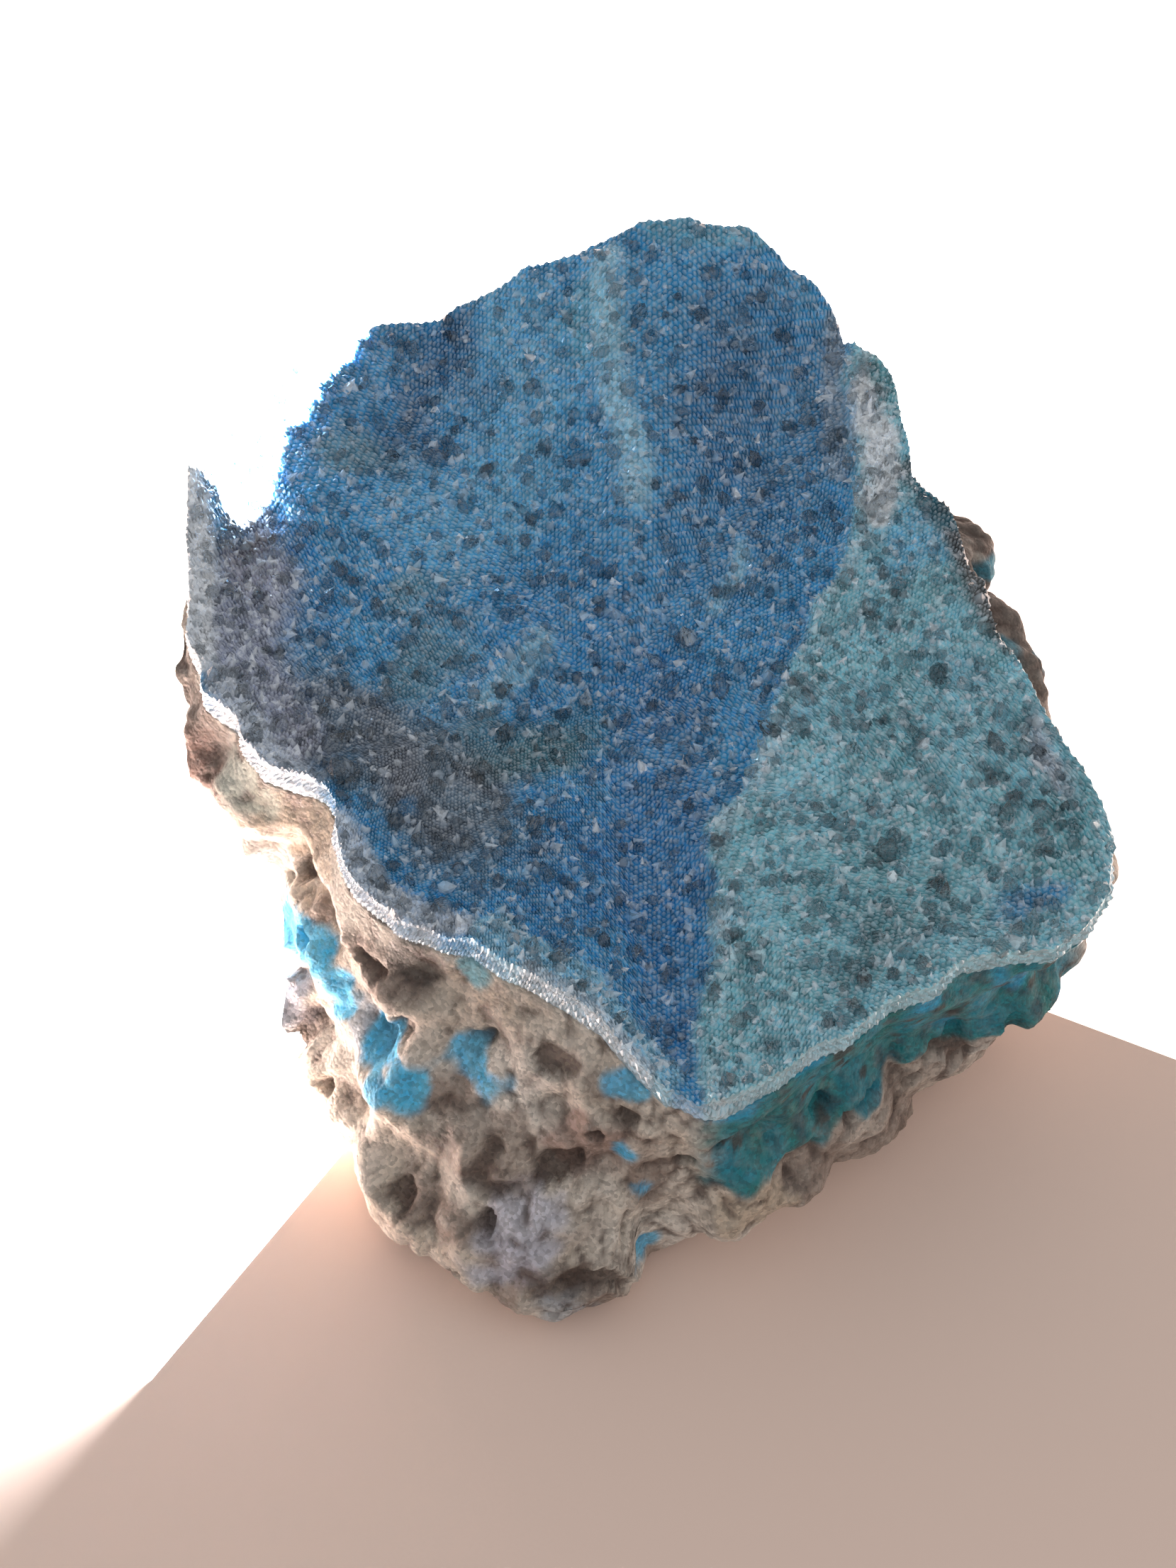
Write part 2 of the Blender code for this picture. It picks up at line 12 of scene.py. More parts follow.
import bpy
import numpy as np
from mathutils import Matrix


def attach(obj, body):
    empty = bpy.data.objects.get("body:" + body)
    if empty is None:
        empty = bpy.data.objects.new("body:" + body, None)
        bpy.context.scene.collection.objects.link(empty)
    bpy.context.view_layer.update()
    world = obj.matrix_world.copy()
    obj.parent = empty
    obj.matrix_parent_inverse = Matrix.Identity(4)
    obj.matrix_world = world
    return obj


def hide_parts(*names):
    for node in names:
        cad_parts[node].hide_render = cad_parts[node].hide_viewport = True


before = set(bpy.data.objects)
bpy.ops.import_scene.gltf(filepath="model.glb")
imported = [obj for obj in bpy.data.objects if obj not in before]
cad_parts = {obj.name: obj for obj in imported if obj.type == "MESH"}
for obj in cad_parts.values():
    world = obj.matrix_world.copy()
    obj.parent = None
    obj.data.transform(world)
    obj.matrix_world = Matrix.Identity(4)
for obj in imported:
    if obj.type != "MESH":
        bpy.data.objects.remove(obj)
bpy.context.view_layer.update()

Array = np.ndarray
Line = tuple[tuple[float, ...], ...]

MM = 0.001
SEED = 41
MIDDLE = (0.0, 1.5)
ORIGIN_SHIFT = (-0.21, -0.8, 0.0)
log = logging.getLogger("specimen")


class Tone(Enum):
    """Colours seen on the specimen, as sRGB values from 0 to 255."""

    AZURE = (34, 152, 206)
    MID_BLUE = (14, 138, 196)
    DEEP_BLUE = (0, 126, 188)
    BASIN_BLUE = (0, 116, 172)
    FURROW_BLUE = (0, 98, 152)
    LIGHT_BLUE = (112, 194, 232)
    ICE_BLUE = (160, 214, 236)
    DARK_TEAL = (0, 74, 102)
    PALE_AQUA = (140, 204, 218)
    GREEN_AQUA = (104, 172, 184)
    GREY_TEAL = (70, 122, 134)
    OLIVE_GREY = (104, 134, 132)
    SMOKY_GREY = (112, 116, 128)
    BROWN_GREY = (112, 98, 104)
    LILAC_GREY = (186, 188, 204)
    QUARTZ = (222, 230, 240)
    SNOW = (244, 247, 251)
    TURQUOISE = (18, 160, 212)
    PALE_TURQUOISE = (128, 220, 240)
    BAND_TEAL = (8, 124, 148)
    BAND_GREEN = (10, 116, 112)
    BAND_DARK = (0, 66, 84)
    BLACK_BROWN = (38, 30, 28)
    DARK_BROWN = (78, 62, 55)
    RED_BROWN = (112, 72, 60)
    MID_BROWN = (142, 126, 116)
    BEIGE = (184, 166, 146)
    WARM_GREY = (198, 188, 180)
    CHALK = (226, 220, 212)
    GREEN_WHITE = (198, 208, 196)
    BLUE_GREY = (150, 160, 172)
    FLOOR_PEACH = (250, 224, 211)

    @property
    def linear(self) -> Array:
        """The colour as linear light from 0 to 1."""
        share = np.array(self.value) / 255.0
        return np.where(share <= 0.04045, share / 12.92, ((share + 0.055) / 1.055) ** 2.4)


def smoothstep(value: Array) -> Array:
    """A smooth climb from 0 to 1 as value goes from 0 to 1: three squares less two cubes."""
    clipped = np.clip(value, 0.0, 1.0)
    return clipped * clipped * (3.0 - 2.0 * clipped)


def lattice_value(cells: Array, seed: int) -> Array:
    """A repeatable number from -1 to 1 for each row of three whole numbers."""
    mixed = cells[..., 0] * 374761393 + cells[..., 1] * 668265263
    mixed = mixed + cells[..., 2] * 2246822519 + seed * 3266489917
    mixed = (mixed ^ (mixed >> 13)) & 0xFFFFFFFF
    mixed = (mixed * 1274126177) & 0xFFFFFFFF
    mixed = mixed ^ (mixed >> 16)
    return mixed / 0x7FFFFFFF - 1.0


def noise(points: Array, size: float | tuple[float, ...], seed: int) -> Array:
    """Smooth value noise from -1 to 1: each point mixes the values of the eight lattice corners around it.

    Args:
        points: Places (N, 3).
        size: Width of a lump, or its widths along X, Y and Z.
        seed: Number of the pattern.

    Returns:
        One value for each place.
    """
    scaled = points / np.asarray(size)
    corner = np.floor(scaled).astype(np.int64)
    part = smoothstep(scaled - corner)
    total = np.zeros(len(points))
    for offset in np.ndindex(2, 2, 2):
        step = np.array(offset)
        weight = np.prod(np.where(step == 1, part, 1.0 - part), axis=1)
        total += weight * lattice_value(corner + step, seed)
    return total


def cell_noise(points: Array, size: float, seed: int) -> tuple[Array, Array]:
    """Distance to the nearest scattered seed point, one in each cube of a lattice, and that cell's value.

    Args:
        points: Places (N, 3).
        size: Width of a cell.
        seed: Number of the pattern.

    Returns:
        The distance in shares of the cell's width, and the nearest cell's value from -1 to 1.
    """
    scaled = points / size
    corner = np.floor(scaled).astype(np.int64)
    nearest = np.full(len(points), np.inf)
    value = np.zeros(len(points))
    for offset in np.ndindex(3, 3, 3):
        cell = corner + np.array(offset) - 1
        shift = np.stack([lattice_value(cell, seed + axis) for axis in range(3)], axis=1)
        distance = np.linalg.norm(cell + 0.5 + 0.45 * shift - scaled, axis=1)
        closer = distance < nearest
        value = np.where(closer, lattice_value(cell, seed + 3), value)
        nearest = np.minimum(nearest, distance)
    return nearest, value


def mix(first: Array, second: Array, share: Array) -> Array:
    """Colours (N, 3) of first, moved towards second by each share."""
    return first + (second - first) * np.asarray(share)[..., None]


def on_plane(places: Array) -> Array:
    """Places (N, 2) with a third coordinate of zero, as the noise reads them."""
    return np.column_stack([places, np.zeros(len(places))])


def bearings(places: Array) -> tuple[Array, Array]:
    """Angle and distance of places seen from MIDDLE."""
    east = places[:, 0] - MIDDLE[0]
    north = places[:, 1] - MIDDLE[1]
    return np.arctan2(north, east), np.hypot(east, north)


def place_at(angles: Array, reach: Array) -> Array:
    """Places (N, 2) at a distance from MIDDLE, in the direction of each angle."""
    return np.array(MIDDLE) + reach[:, None] * np.stack([np.cos(angles), np.sin(angles)], axis=1)


def distance_to_line(points: Array, line: Line) -> Array:
    """Distance from points (N, D) to a chain of straight stretches: the least over its stretches."""
    corners = np.array(line)
    nearest = np.full(len(points), np.inf)
    for start, end in zip(corners[:-1], corners[1:]):
        along = end - start
        share = np.clip((points - start) @ along / (along @ along), 0.0, 1.0)
        nearest = np.minimum(nearest, np.linalg.norm(points - start - share[:, None] * along, axis=1))
    return nearest


def inside_outline(points: Array, outline: Line) -> Array:
    """True where a point (N, 2) lies inside a closed outline: it counts the edges crossed to the right."""
    corners = np.array(outline)
    inside = np.zeros(len(points), bool)
    for start, end in zip(corners, np.roll(corners, -1, axis=0)):
        spans = (start[1] > points[:, 1]) != (end[1] > points[:, 1])
        rise = end[1] - start[1]
        crossing = start[0] + (points[:, 1] - start[1]) * (end[0] - start[0]) / (rise if rise else 1.0)
        inside ^= spans & (points[:, 0] < crossing)
    return inside


@dataclass(frozen=True)
class Outline:
    """A closed outline around MIDDLE, some with a height at each point."""

    points: Line

    def at(self, angles: Array, column: int = -1) -> Array:
        """The radius at each angle, or with column 2 the height, read along straight stretches.

        Args:
            angles: Bearings from MIDDLE in radians.
            column: 2 for the height, and otherwise the radius is read.

        Returns:
            One value for each angle.
        """
        points = np.array(self.points)
        angle, radius = bearings(points)
        order = np.argsort(angle)
        values = points[order, 2] if column == 2 else radius[order]
        return np.interp(angles, angle[order], values, period=2.0 * np.pi)


@dataclass(frozen=True)
class Fold:
    """A rounded ridge along a line, or a furrow if its height is negative."""

    line: Line
    height: float
    half_width: float

    def rise(self, places: Array) -> Array:
        """Its height at places: a bell curve of the distance to the line."""
        return self.height * np.exp(-((distance_to_line(places, self.line) / self.half_width) ** 2))


@dataclass(frozen=True)
class Hill:
    """A rounded hill, or a hollow if its height is negative."""

    x: float
    y: float
    half_length: float
    half_width: float
    turn: float
    height: float

    def rise(self, places: Array) -> Array:
        """Its height at places: a bell curve with two half axes, turned about its middle."""
        along, across = turned(places, self.x, self.y, self.turn)
        return self.height * np.exp(-((along / self.half_length) ** 2) - (across / self.half_width) ** 2)


def turned(places: Array, x: float, y: float, turn: float) -> tuple[Array, Array]:
    """Places seen from (x, y) along and across a direction at turn degrees."""
    angle = np.radians(turn)
    east = places[:, 0] - x
    north = places[:, 1] - y
    return east * np.cos(angle) + north * np.sin(angle), north * np.cos(angle) - east * np.sin(angle)


@dataclass(frozen=True)
class Patch:
    """A soft-edged oval of colour on the druse, given by its middle, half axes, turn, tone and strength."""

    x: float
    y: float
    half_length: float
    half_width: float
    turn: float
    tone: Tone
    strength: float
    softness: float = 0.5

    def weight(self, places: Array) -> Array:
        """Strength inside the oval, fading over softness times its radius on both sides of its edge."""
        along, across = turned(places, self.x, self.y, self.turn)
        radius = np.hypot(along / self.half_length, across / self.half_width)
        return self.strength * smoothstep((1.0 + self.softness - radius) / (2.0 * self.softness))


@dataclass(frozen=True)
class Streak:
    """A strip of colour along a line, which may carry white sugary crystals."""

    line: Line
    half_width: float
    tone: Tone
    strength: float
    softness: float = 0.4

    def weight(self, places: Array) -> Array:
        """Strength along the line, fading over softness times the half width on both sides of its edge."""
        radius = distance_to_line(places, self.line) / self.half_width
        return self.strength * smoothstep((1.0 + self.softness - radius) / (2.0 * self.softness))


@dataclass(frozen=True)
class Spot:
    """A ball-shaped patch of colour on the rock, given by its place, reach, tone and strength."""

    x: float
    y: float
    z: float
    reach: float
    tone: Tone
    strength: float

    def weight(self, points: Array, raggedness: Array) -> Array:
        """Strength within its reach, with an edge that raggedness (-1 to 1) moves in and out."""
        distance = np.linalg.norm(points - (self.x, self.y, self.z), axis=1) / self.reach
        return self.strength * smoothstep((1.15 - distance + 0.45 * raggedness) / 0.4)


@dataclass(frozen=True)
class DruseForm:
    """Broad form of the crust: its outline, its basin with folds and hills, and the raised pale layer."""

    edge: Outline = Outline((
        (-33.2, 24.8, 31.0), (-29.0, 27.3, 31.0), (-25.0, 30.0, 30.5), (-19.0, 33.0, 30.0),
        (-13.5, 34.8, 30.0), (-8.5, 37.0, 30.5), (-6.0, 38.7, 31.0), (-1.3, 40.1, 31.0), (2.0, 41.8, 31.5),
        (7.2, 43.6, 31.5), (12.0, 42.1, 31.5), (15.0, 40.0, 31.0), (17.3, 37.4, 30.5), (19.2, 34.8, 30.0),
        (20.0, 31.8, 30.0), (23.0, 29.7, 29.5), (24.5, 25.0, 29.5), (25.2, 18.7, 29.5), (28.3, 14.0, 29.0),
        (30.2, 8.2, 29.0), (31.4, 5.1, 28.5), (34.0, 0.7, 28.0), (36.1, -4.1, 27.0), (38.6, -7.6, 26.5),
        (40.0, -12.7, 25.5), (39.5, -16.5, 25.5), (37.2, -20.1, 25.5), (35.2, -22.0, 26.0),
        (30.7, -22.8, 27.0), (27.3, -24.0, 27.5), (23.9, -26.0, 27.5), (17.1, -30.3, 27.0),
        (12.4, -32.7, 26.5), (9.0, -33.6, 26.0), (5.0, -33.2, 26.0), (2.3, -30.6, 27.0), (0.0, -28.2, 27.5),
        (-4.9, -25.3, 28.0), (-9.8, -22.0, 28.5), (-16.0, -20.6, 29.0), (-18.8, -17.5, 29.0),
        (-20.6, -14.4, 29.0), (-20.8, -10.6, 29.0), (-22.5, -8.3, 29.0), (-26.5, -7.2, 29.5),
        (-28.2, -3.4, 30.0), (-30.8, -1.0, 30.0), (-32.8, 4.0, 30.0), (-32.4, 9.0, 31.0), (-33.0, 16.0, 31.5),
    ))
    folds: tuple[Fold, ...] = (
        Fold(((-1.6, 20.2), (0.7, 10.1), (3.5, -5.0), (5.6, -22.0), (7.0, -34.0)), -2.3, 6.0),
        Fold(((0.6, 38.3), (0.1, 33.0), (1.1, 28.0), (2.5, 25.5), (2.3, 18.6)), 1.9, 2.2),
        Fold(((-11.6, 36.4), (-14.4, 30.4), (-17.5, 23.0)), -1.0, 2.2),
        Fold(((-5.4, 6.4), (-8.3, 2.4), (-10.5, -1.5)), 1.1, 1.6),
        Fold(((-32.5, 22.0), (-32.5, 8.0)), 0.9, 1.3),
        Fold(((-7.8, -21.5), (-3.7, -24.4), (0.6, -28.4), (4.4, -32.4)), 0.9, 2.0),
    )
    hills: tuple[Hill, ...] = (
        Hill(-28.6, 16.0, 6.5, 2.3, 90.0, -2.4),
        Hill(-9.0, 27.0, 10.0, 6.0, 20.0, -1.2),
        Hill(13.0, 27.0, 9.0, 5.5, 110.0, -2.2),
        Hill(-16.5, -4.5, 6.0, 5.0, 0.0, 1.3),
        Hill(-4.0, -1.0, 5.0, 4.0, 60.0, -1.2),
    )
    layer_edge: Line = (
        (21.0, 33.0), (19.9, 30.0), (20.3, 27.9), (20.6, 21.0), (20.7, 18.0), (19.7, 14.4), (19.1, 10.5),
        (17.1, 8.6), (16.4, 5.9), (13.5, 0.3), (12.8, -3.6), (11.3, -7.8), (8.5, -10.6), (7.6, -13.1),
        (9.0, -15.9), (8.7, -20.6), (8.9, -23.0), (7.5, -25.4), (6.9, -27.2), (7.4, -29.6), (8.2, -36.0),
        (60.0, -60.0), (60.0, 40.0),
    )
    layer_height: float = 1.6
    layer_slope: float = 1.3
    layer_fade: float = 22.0
    basin_floor: float = 25.6
    basin_power: float = 2.4
    edge_thickness: float = 3.0
    basin_thickness: float = 4.5
    teal_thinning: float = 1.2
    teal_bearing: float = -0.785
    teal_half_sweep: float = 1.2
    raggedness: float = 0.5
    turn_radius: float = 12.0
    bay: float = 0.9
    chip: float = 1.6

    def ragged(self, angles: Array) -> Array:
        """How far the broken edge strays from its outline at each angle: noise read around a circle."""
        around = self.turn_radius * np.stack([np.cos(angles), np.sin(angles), np.zeros_like(angles)], axis=1)
        return self.raggedness * noise(around, self.bay, SEED)

    def edge_reach(self, angles: Array) -> Array:
        """Distance from MIDDLE to the crust's broken edge."""
        return self.edge.at(angles) + self.ragged(angles)

    def layer_depth(self, places: Array) -> Array:
        """How far inside the pale layer's edge each place lies, negative outside it."""
        distance = distance_to_line(places, self.layer_edge[:-2])
        return np.where(inside_outline(places, self.layer_edge), distance, -distance)

    def pale_layer(self, places: Array) -> Array:
        """Height of the raised layer: a smooth step at its edge that thins out away from it."""
        depth = self.layer_depth(places)
        step = smoothstep(0.5 + depth / self.layer_slope)
        return self.layer_height * step * np.exp(-np.maximum(depth, 0.0) / self.layer_fade)

    def basin(self, places: Array) -> Array:
        """Height of the basin: it climbs to the rim with a power of the radius, less the central valley."""
        angle, radius = bearings(places)
        rim = self.edge.at(angle, 2)
        climb = np.minimum(radius / self.edge_reach(angle), 1.0) ** self.basin_power
        return self.basin_floor + (rim - self.basin_floor) * climb + self.folds[0].rise(places)

    def height(self, places: Array) -> Array:
        """Height of the druse between its points: the basin, the pale layer, the folds and the hills."""
        height = self.basin(places) + self.pale_layer(places)
        for shape in (*self.folds[1:], *self.hills):
            height = height + shape.rise(places)
        return height

    def seam(self, places: Array) -> Array:
        """Height of the crust's underside: deepest under the basin and thin over the teal band."""
        angle, radius = bearings(places)
        share = np.minimum(radius / self.edge_reach(angle), 1.0)
        near_band = smoothstep(self.teal_half_sweep - np.abs(angle - self.teal_bearing))
        edge = self.edge_thickness - self.teal_thinning * near_band
        return self.basin(places) - edge - (self.basin_thickness - edge) * (1.0 - share**2)

    def normals(self, places: Array, step: float = 0.4) -> Array:
        """Upward directions of the druse, from the slope between places a step apart."""
        east = np.array([step, 0.0])
        north = np.array([0.0, step])
        slope_x = (self.height(places + east) - self.height(places - east)) / (2.0 * step)
        slope_y = (self.height(places + north) - self.height(places - north)) / (2.0 * step)
        return unit(np.stack([-slope_x, -slope_y, np.ones(len(places))], axis=1))


@dataclass(frozen=True)
class RockForm:
    """Broad form of the host rock: its widest line, its foot, its lumps, pits, tube ridge and teal recess."""

    belly: Outline = Outline((
        (-35.0, 25.2, 22.0), (-31.0, 26.5, 18.0), (-24.0, 30.0, 16.0), (-16.0, 33.0, 15.0),
        (-7.0, 36.8, 14.0), (0.0, 40.3, 14.0), (7.0, 42.6, 14.0), (13.0, 40.0, 14.0), (19.0, 34.0, 15.0),
        (23.3, 29.0, 17.0), (26.0, 25.0, 20.0), (27.8, 22.3, 21.5), (29.3, 20.9, 22.0), (31.2, 17.8, 22.0),
        (32.3, 14.7, 22.0), (32.1, 12.1, 22.0), (34.3, 9.5, 21.8), (34.6, 6.8, 21.6), (35.3, 5.5, 21.4),
        (35.1, 3.9, 21.0), (34.6, 0.0, 20.0), (37.0, -5.0, 18.0), (39.2, -12.0, 17.0), (39.2, -16.7, 17.0),
        (37.9, -20.4, 17.0), (35.9, -21.2, 14.0), (32.5, -24.0, 11.5), (27.2, -25.6, 11.0),
        (22.4, -29.5, 10.0), (17.2, -32.9, 9.0), (13.4, -35.1, 9.0), (12.6, -36.3, 8.0), (10.8, -37.5, 7.5),
        (7.4, -37.4, 8.0), (4.2, -38.6, 8.0), (3.4, -40.8, 6.0), (1.6, -42.4, 5.0), (-0.6, -43.7, 4.5),
        (-3.2, -44.0, 4.0), (-5.5, -43.0, 4.0), (-10.0, -40.9, 4.0), (-13.8, -37.6, 4.0),
        (-16.4, -36.5, 4.0), (-19.9, -29.5, 4.0), (-24.0, -22.6, 5.0), (-27.7, -18.9, 5.0),
        (-30.7, -13.4, 6.0), (-32.3, -9.4, 7.0), (-34.7, -7.0, 8.0), (-35.7, -4.8, 9.0), (-38.0, -1.2, 11.0),
        (-39.2, 3.4, 15.0), (-39.5, 7.9, 18.0), (-38.0, 14.7, 20.0), (-38.2, 19.9, 22.0),
    ))
    foot: Outline = Outline((
        (-28.0, 20.0), (-30.5, 12.0), (-32.0, 3.0), (-27.0, -6.0), (-24.0, -15.0), (-17.5, -25.5),
        (-13.0, -33.0), (-4.0, -38.0), (2.0, -36.5), (8.0, -32.5), (17.0, -26.5), (21.0, -18.0),
        (25.5, -8.0), (23.0, 5.0), (19.0, 16.0), (16.0, 26.0), (8.5, 33.5), (-3.0, 31.5), (-14.0, 28.5),
        (-22.0, 26.5),
    ))
    marks: tuple[tuple[float, float, float, float, float], ...] = (
        (-33.0, 3.0, 20.0, 3.0, -3.2), (-35.0, -1.5, 16.0, 3.0, -2.8), (-32.0, -5.0, 16.5, 2.6, -2.4),
        (-14.0, -24.0, 24.0, 3.0, -3.0), (-12.0, -34.5, 13.0, 2.4, -2.0), (0.5, -37.0, 14.5, 4.0, -2.2),
        (5.0, -38.5, 6.0, 2.4, -1.6), (11.8, -37.5, 7.5, 2.6, 0.5), (-1.0, -35.0, 20.5, 3.4, 1.3),
        (-38.0, 12.0, 24.0, 4.0, 1.0), (-12.0, 34.0, 14.0, 5.0, -1.8), (4.0, 42.0, 12.0, 5.0, 0.8),
        (33.0, -6.0, 9.0, 5.0, -1.6),
    )
    lumps: tuple[tuple[tuple[float, float, float], float], ...] = (
        ((12.0, 12.0, 9.0), 1.4),
        ((5.5, 5.5, 5.0), 1.4),
        ((14.0, 14.0, 3.2), 0.9),
        ((3.0, 3.0, 3.0), 1.0),
    )
    tube_ridge: Line = ((-13.5, -27.5, 23.0), (-12.5, -31.0, 18.0), (-10.8, -34.5, 12.5))
    tube_width: float = 1.8
    tube_height: float = 1.6
    belly_inset: float = 0.9
    foot_raggedness: float = 1.3
    foot_lump: float = 6.0
    foot_fade: float = 2.5
    top_fade: float = 0.3
    teal_recess: float = 1.3
    teal_x: float = 8.0
    teal_y: float = -14.0
    teal_heights: tuple[float, float] = (14.0, 25.5)
    teal_soft_ends: float = 5.0
    teal_soft_limits: float = 3.0
    least_height_share: float = 0.5

    def teal_band(self, points: Array) -> Array:
        """1 on the teal band at the right front and 0 away from it, with soft ends and limits."""
        x, y, z = points.T
        low, high = self.teal_heights
        side = smoothstep((x - self.teal_x) / self.teal_soft_ends)
        side = side * smoothstep((self.teal_y - y) / self.teal_soft_ends)
        level = smoothstep((z - low) / self.teal_soft_limits)
        return side * level * smoothstep((high - z) / self.teal_soft_limits)

    def relief(self, points: Array) -> Array:
        """How far the rock stands out: noise lumps, round marks, the tube ridge and the teal recess."""
        ridge = distance_to_line(points, self.tube_ridge) / self.tube_width
        relief = self.tube_height * np.exp(-(ridge**2))
        for index, (size, amount) in enumerate(self.lumps):
            relief += amount * noise(points, size, SEED + 10 + index)
        for *place, half_width, amount in self.marks:
            relief += amount * np.exp(-np.sum((points - place) ** 2, axis=1) / half_width**2)
        return relief - self.teal_recess * self.teal_band(points)


def unit(vectors: Array) -> Array:
    """Vectors scaled to a length of one."""
    return vectors / np.maximum(np.linalg.norm(vectors, axis=-1, keepdims=True), 1e-9)


def tangents(axes: Array, spins: Array) -> tuple[Array, Array]:
    """Two directions square to each axis and to each other, turned about it by its spin in radians."""
    helper = np.where(np.abs(axes[:, 2:]) < 0.9, (0.0, 0.0, 1.0), (1.0, 0.0, 0.0))
    first = unit(np.cross(helper, axes))
    second = np.cross(axes, first)
    cosine = np.cos(spins)[:, None]
    sine = np.sin(spins)[:, None]
    return first * cosine + second * sine, second * cosine - first * sine


def ring_band(lower: Array, upper: Array) -> Array:
    """Triangles of a closed band between two rings of vertex numbers that run anticlockwise."""
    next_lower = np.roll(lower, -1)
    next_upper = np.roll(upper, -1)
    first = np.stack([lower, next_lower, next_upper], axis=1)
    return np.concatenate([first, np.stack([lower, next_upper, upper], axis=1)])


def add_piece(name: str, points: Array, triangles: Array, fields: dict[str, Array],
              finish: bpy.types.Material, smooth: bool = False) -> bpy.types.Object:
    """Makes a mesh piece that rides on the specimen, from whole arrays.

    Args:
        name: The piece's name.
        points: Vertices (N, 3) in millimetres.
        triangles: Vertex numbers (M, 3), anticlockwise from outside.
        fields: Attributes by name, one value (N,) or colour (N, 3) for each vertex.
        finish: Its material.
        smooth: Whether its faces are shaded smooth.

    Returns:
        The new object.
    """
    mesh = bpy.data.meshes.new(name)
    mesh.vertices.add(len(points))
    mesh.vertices.foreach_set("co", ((points + ORIGIN_SHIFT) * MM).astype(np.float32).ravel())
    mesh.loops.add(3 * len(triangles))
    mesh.loops.foreach_set("vertex_index", triangles.astype(np.int32).ravel())
    mesh.polygons.add(len(triangles))
    mesh.polygons.foreach_set("loop_start", np.arange(0, 3 * len(triangles), 3, dtype=np.int32))
    mesh.update(calc_edges=True)
    for title, values in fields.items():
        if values.ndim == 1:
            layer = mesh.attributes.new(title, "FLOAT", "POINT")
            layer.data.foreach_set("value", values.astype(np.float32))
        else:
            layer = mesh.attributes.new(title, "FLOAT_COLOR", "POINT")
            colours = np.column_stack([np.clip(values, 0.0, 1.0), np.ones(len(values))])
            layer.data.foreach_set("color", colours.astype(np.float32).ravel())
    mesh.validate()
    if smooth:
        mesh.shade_smooth()
    else:
        mesh.shade_flat()
    mesh.materials.append(finish)
    piece = bpy.data.objects.new(name, mesh)
    bpy.context.scene.collection.objects.link(piece)
    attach(piece, "root")
    log.info("%s: %d triangles", name, len(triangles))
    return piece


class Wiring:
    """Adds nodes to a material or a node group and links them."""

    def __init__(self, tree: bpy.types.NodeTree) -> None:
        """Keeps the tree that nodes go into."""
        self.tree = tree

    def node(self, kind: str, **values: object) -> bpy.types.Node:
        """A new node; values whose names are its properties set those.

        Args:
            kind: The node's type.
            **values: Properties of the node.

        Returns:
            The node.
        """
        made = self.tree.nodes.new(kind)
        for name, value in values.items():
            setattr(made, name, value)
        return made

    def feed(self, target: bpy.types.NodeSocket, source: object) -> None:
        """Links a socket to a target, or sets the target to a plain value."""
        if isinstance(source, bpy.types.NodeSocket):
            self.tree.links.new(source, target)
        else:
            target.default_value = source

    def maths(self, operation: str, first: object, second: object = 0.0, clamp: bool = False) -> object:
        """The output of a Math node on two sockets or numbers."""
        made = self.node("ShaderNodeMath", operation=operation, use_clamp=clamp)
        self.feed(made.inputs[0], first)
        self.feed(made.inputs[1], second)
        return made.outputs[0]

    def blend(self, share: object, first: object, second: object, how: str = "MIX") -> object:
        """The colour output of a Mix node.

        Args:
            share: How much of the second colour, a socket or a number.
            first: The first colour.
            second: The second colour.
            how: The blend type.

        Returns:
            The output socket.
        """
        made = self.node("ShaderNodeMix", data_type="RGBA", blend_type=how)
        self.feed(made.inputs["Factor"], share)
        self.feed(made.inputs[6], first)
        self.feed(made.inputs[7], second)
        return made.outputs[2]

    def span(self, value: object, low: float, high: float, start: float, end: float) -> object:
        """The output of a Map Range node that takes low to high onto start to end."""
        made = self.node("ShaderNodeMapRange")
        self.feed(made.inputs["Value"], value)
        for title, number in (("From Min", low), ("From Max", high), ("To Min", start), ("To Max", end)):
            made.inputs[title].default_value = number
        return made.outputs["Result"]

    def attribute(self, name: str, output: str) -> bpy.types.NodeSocket:
        """An output of the Attribute node that reads a mesh attribute by name."""
        return self.node("ShaderNodeAttribute", attribute_name=name).outputs[output]


def new_group(name: str, inputs: dict[str, float], outputs: dict[str, str]) -> tuple[Wiring, object, object]:
    """An empty shader node group with named float inputs and named outputs.

    Args:
        name: The group's name.
        inputs: Each input's default value.
        outputs: Each output's socket type.

    Returns:
        The group's wiring, its input node and its output node.
    """
    group = bpy.data.node_groups.new(name, "ShaderNodeTree")
    for title, value in inputs.items():
        socket = group.interface.new_socket(title, in_out="INPUT", socket_type="NodeSocketFloat")
        socket.default_value = value
    for title, kind in outputs.items():
        group.interface.new_socket(title, in_out="OUTPUT", socket_type=kind)
    wiring = Wiring(group)
    return wiring, wiring.node("NodeGroupInput"), wiring.node("NodeGroupOutput")


def grain_group() -> bpy.types.NodeTree:
    """Fine crystal grain: random cells of a given size, and a height that rises in each cell's middle."""
    wiring, given, out = new_group(
        "crystal grain", {"Cells per metre": 2400.0}, {"Grain": "NodeSocketFloat", "Height": "NodeSocketFloat"}
    )
    place = wiring.node("ShaderNodeTexCoord").outputs["Object"]
    cells = wiring.node("ShaderNodeTexVoronoi", feature="F1")
    wiring.feed(cells.inputs["Vector"], place)
    wiring.feed(cells.inputs["Scale"], given.outputs[0])
    grey = wiring.node("ShaderNodeSeparateColor")
    wiring.feed(grey.inputs[0], cells.outputs["Color"])
    wiring.feed(out.inputs["Grain"], grey.outputs[0])
    wiring.feed(out.inputs["Height"], wiring.maths("SUBTRACT", 1.0, cells.outputs["Distance"]))
    return wiring.tree


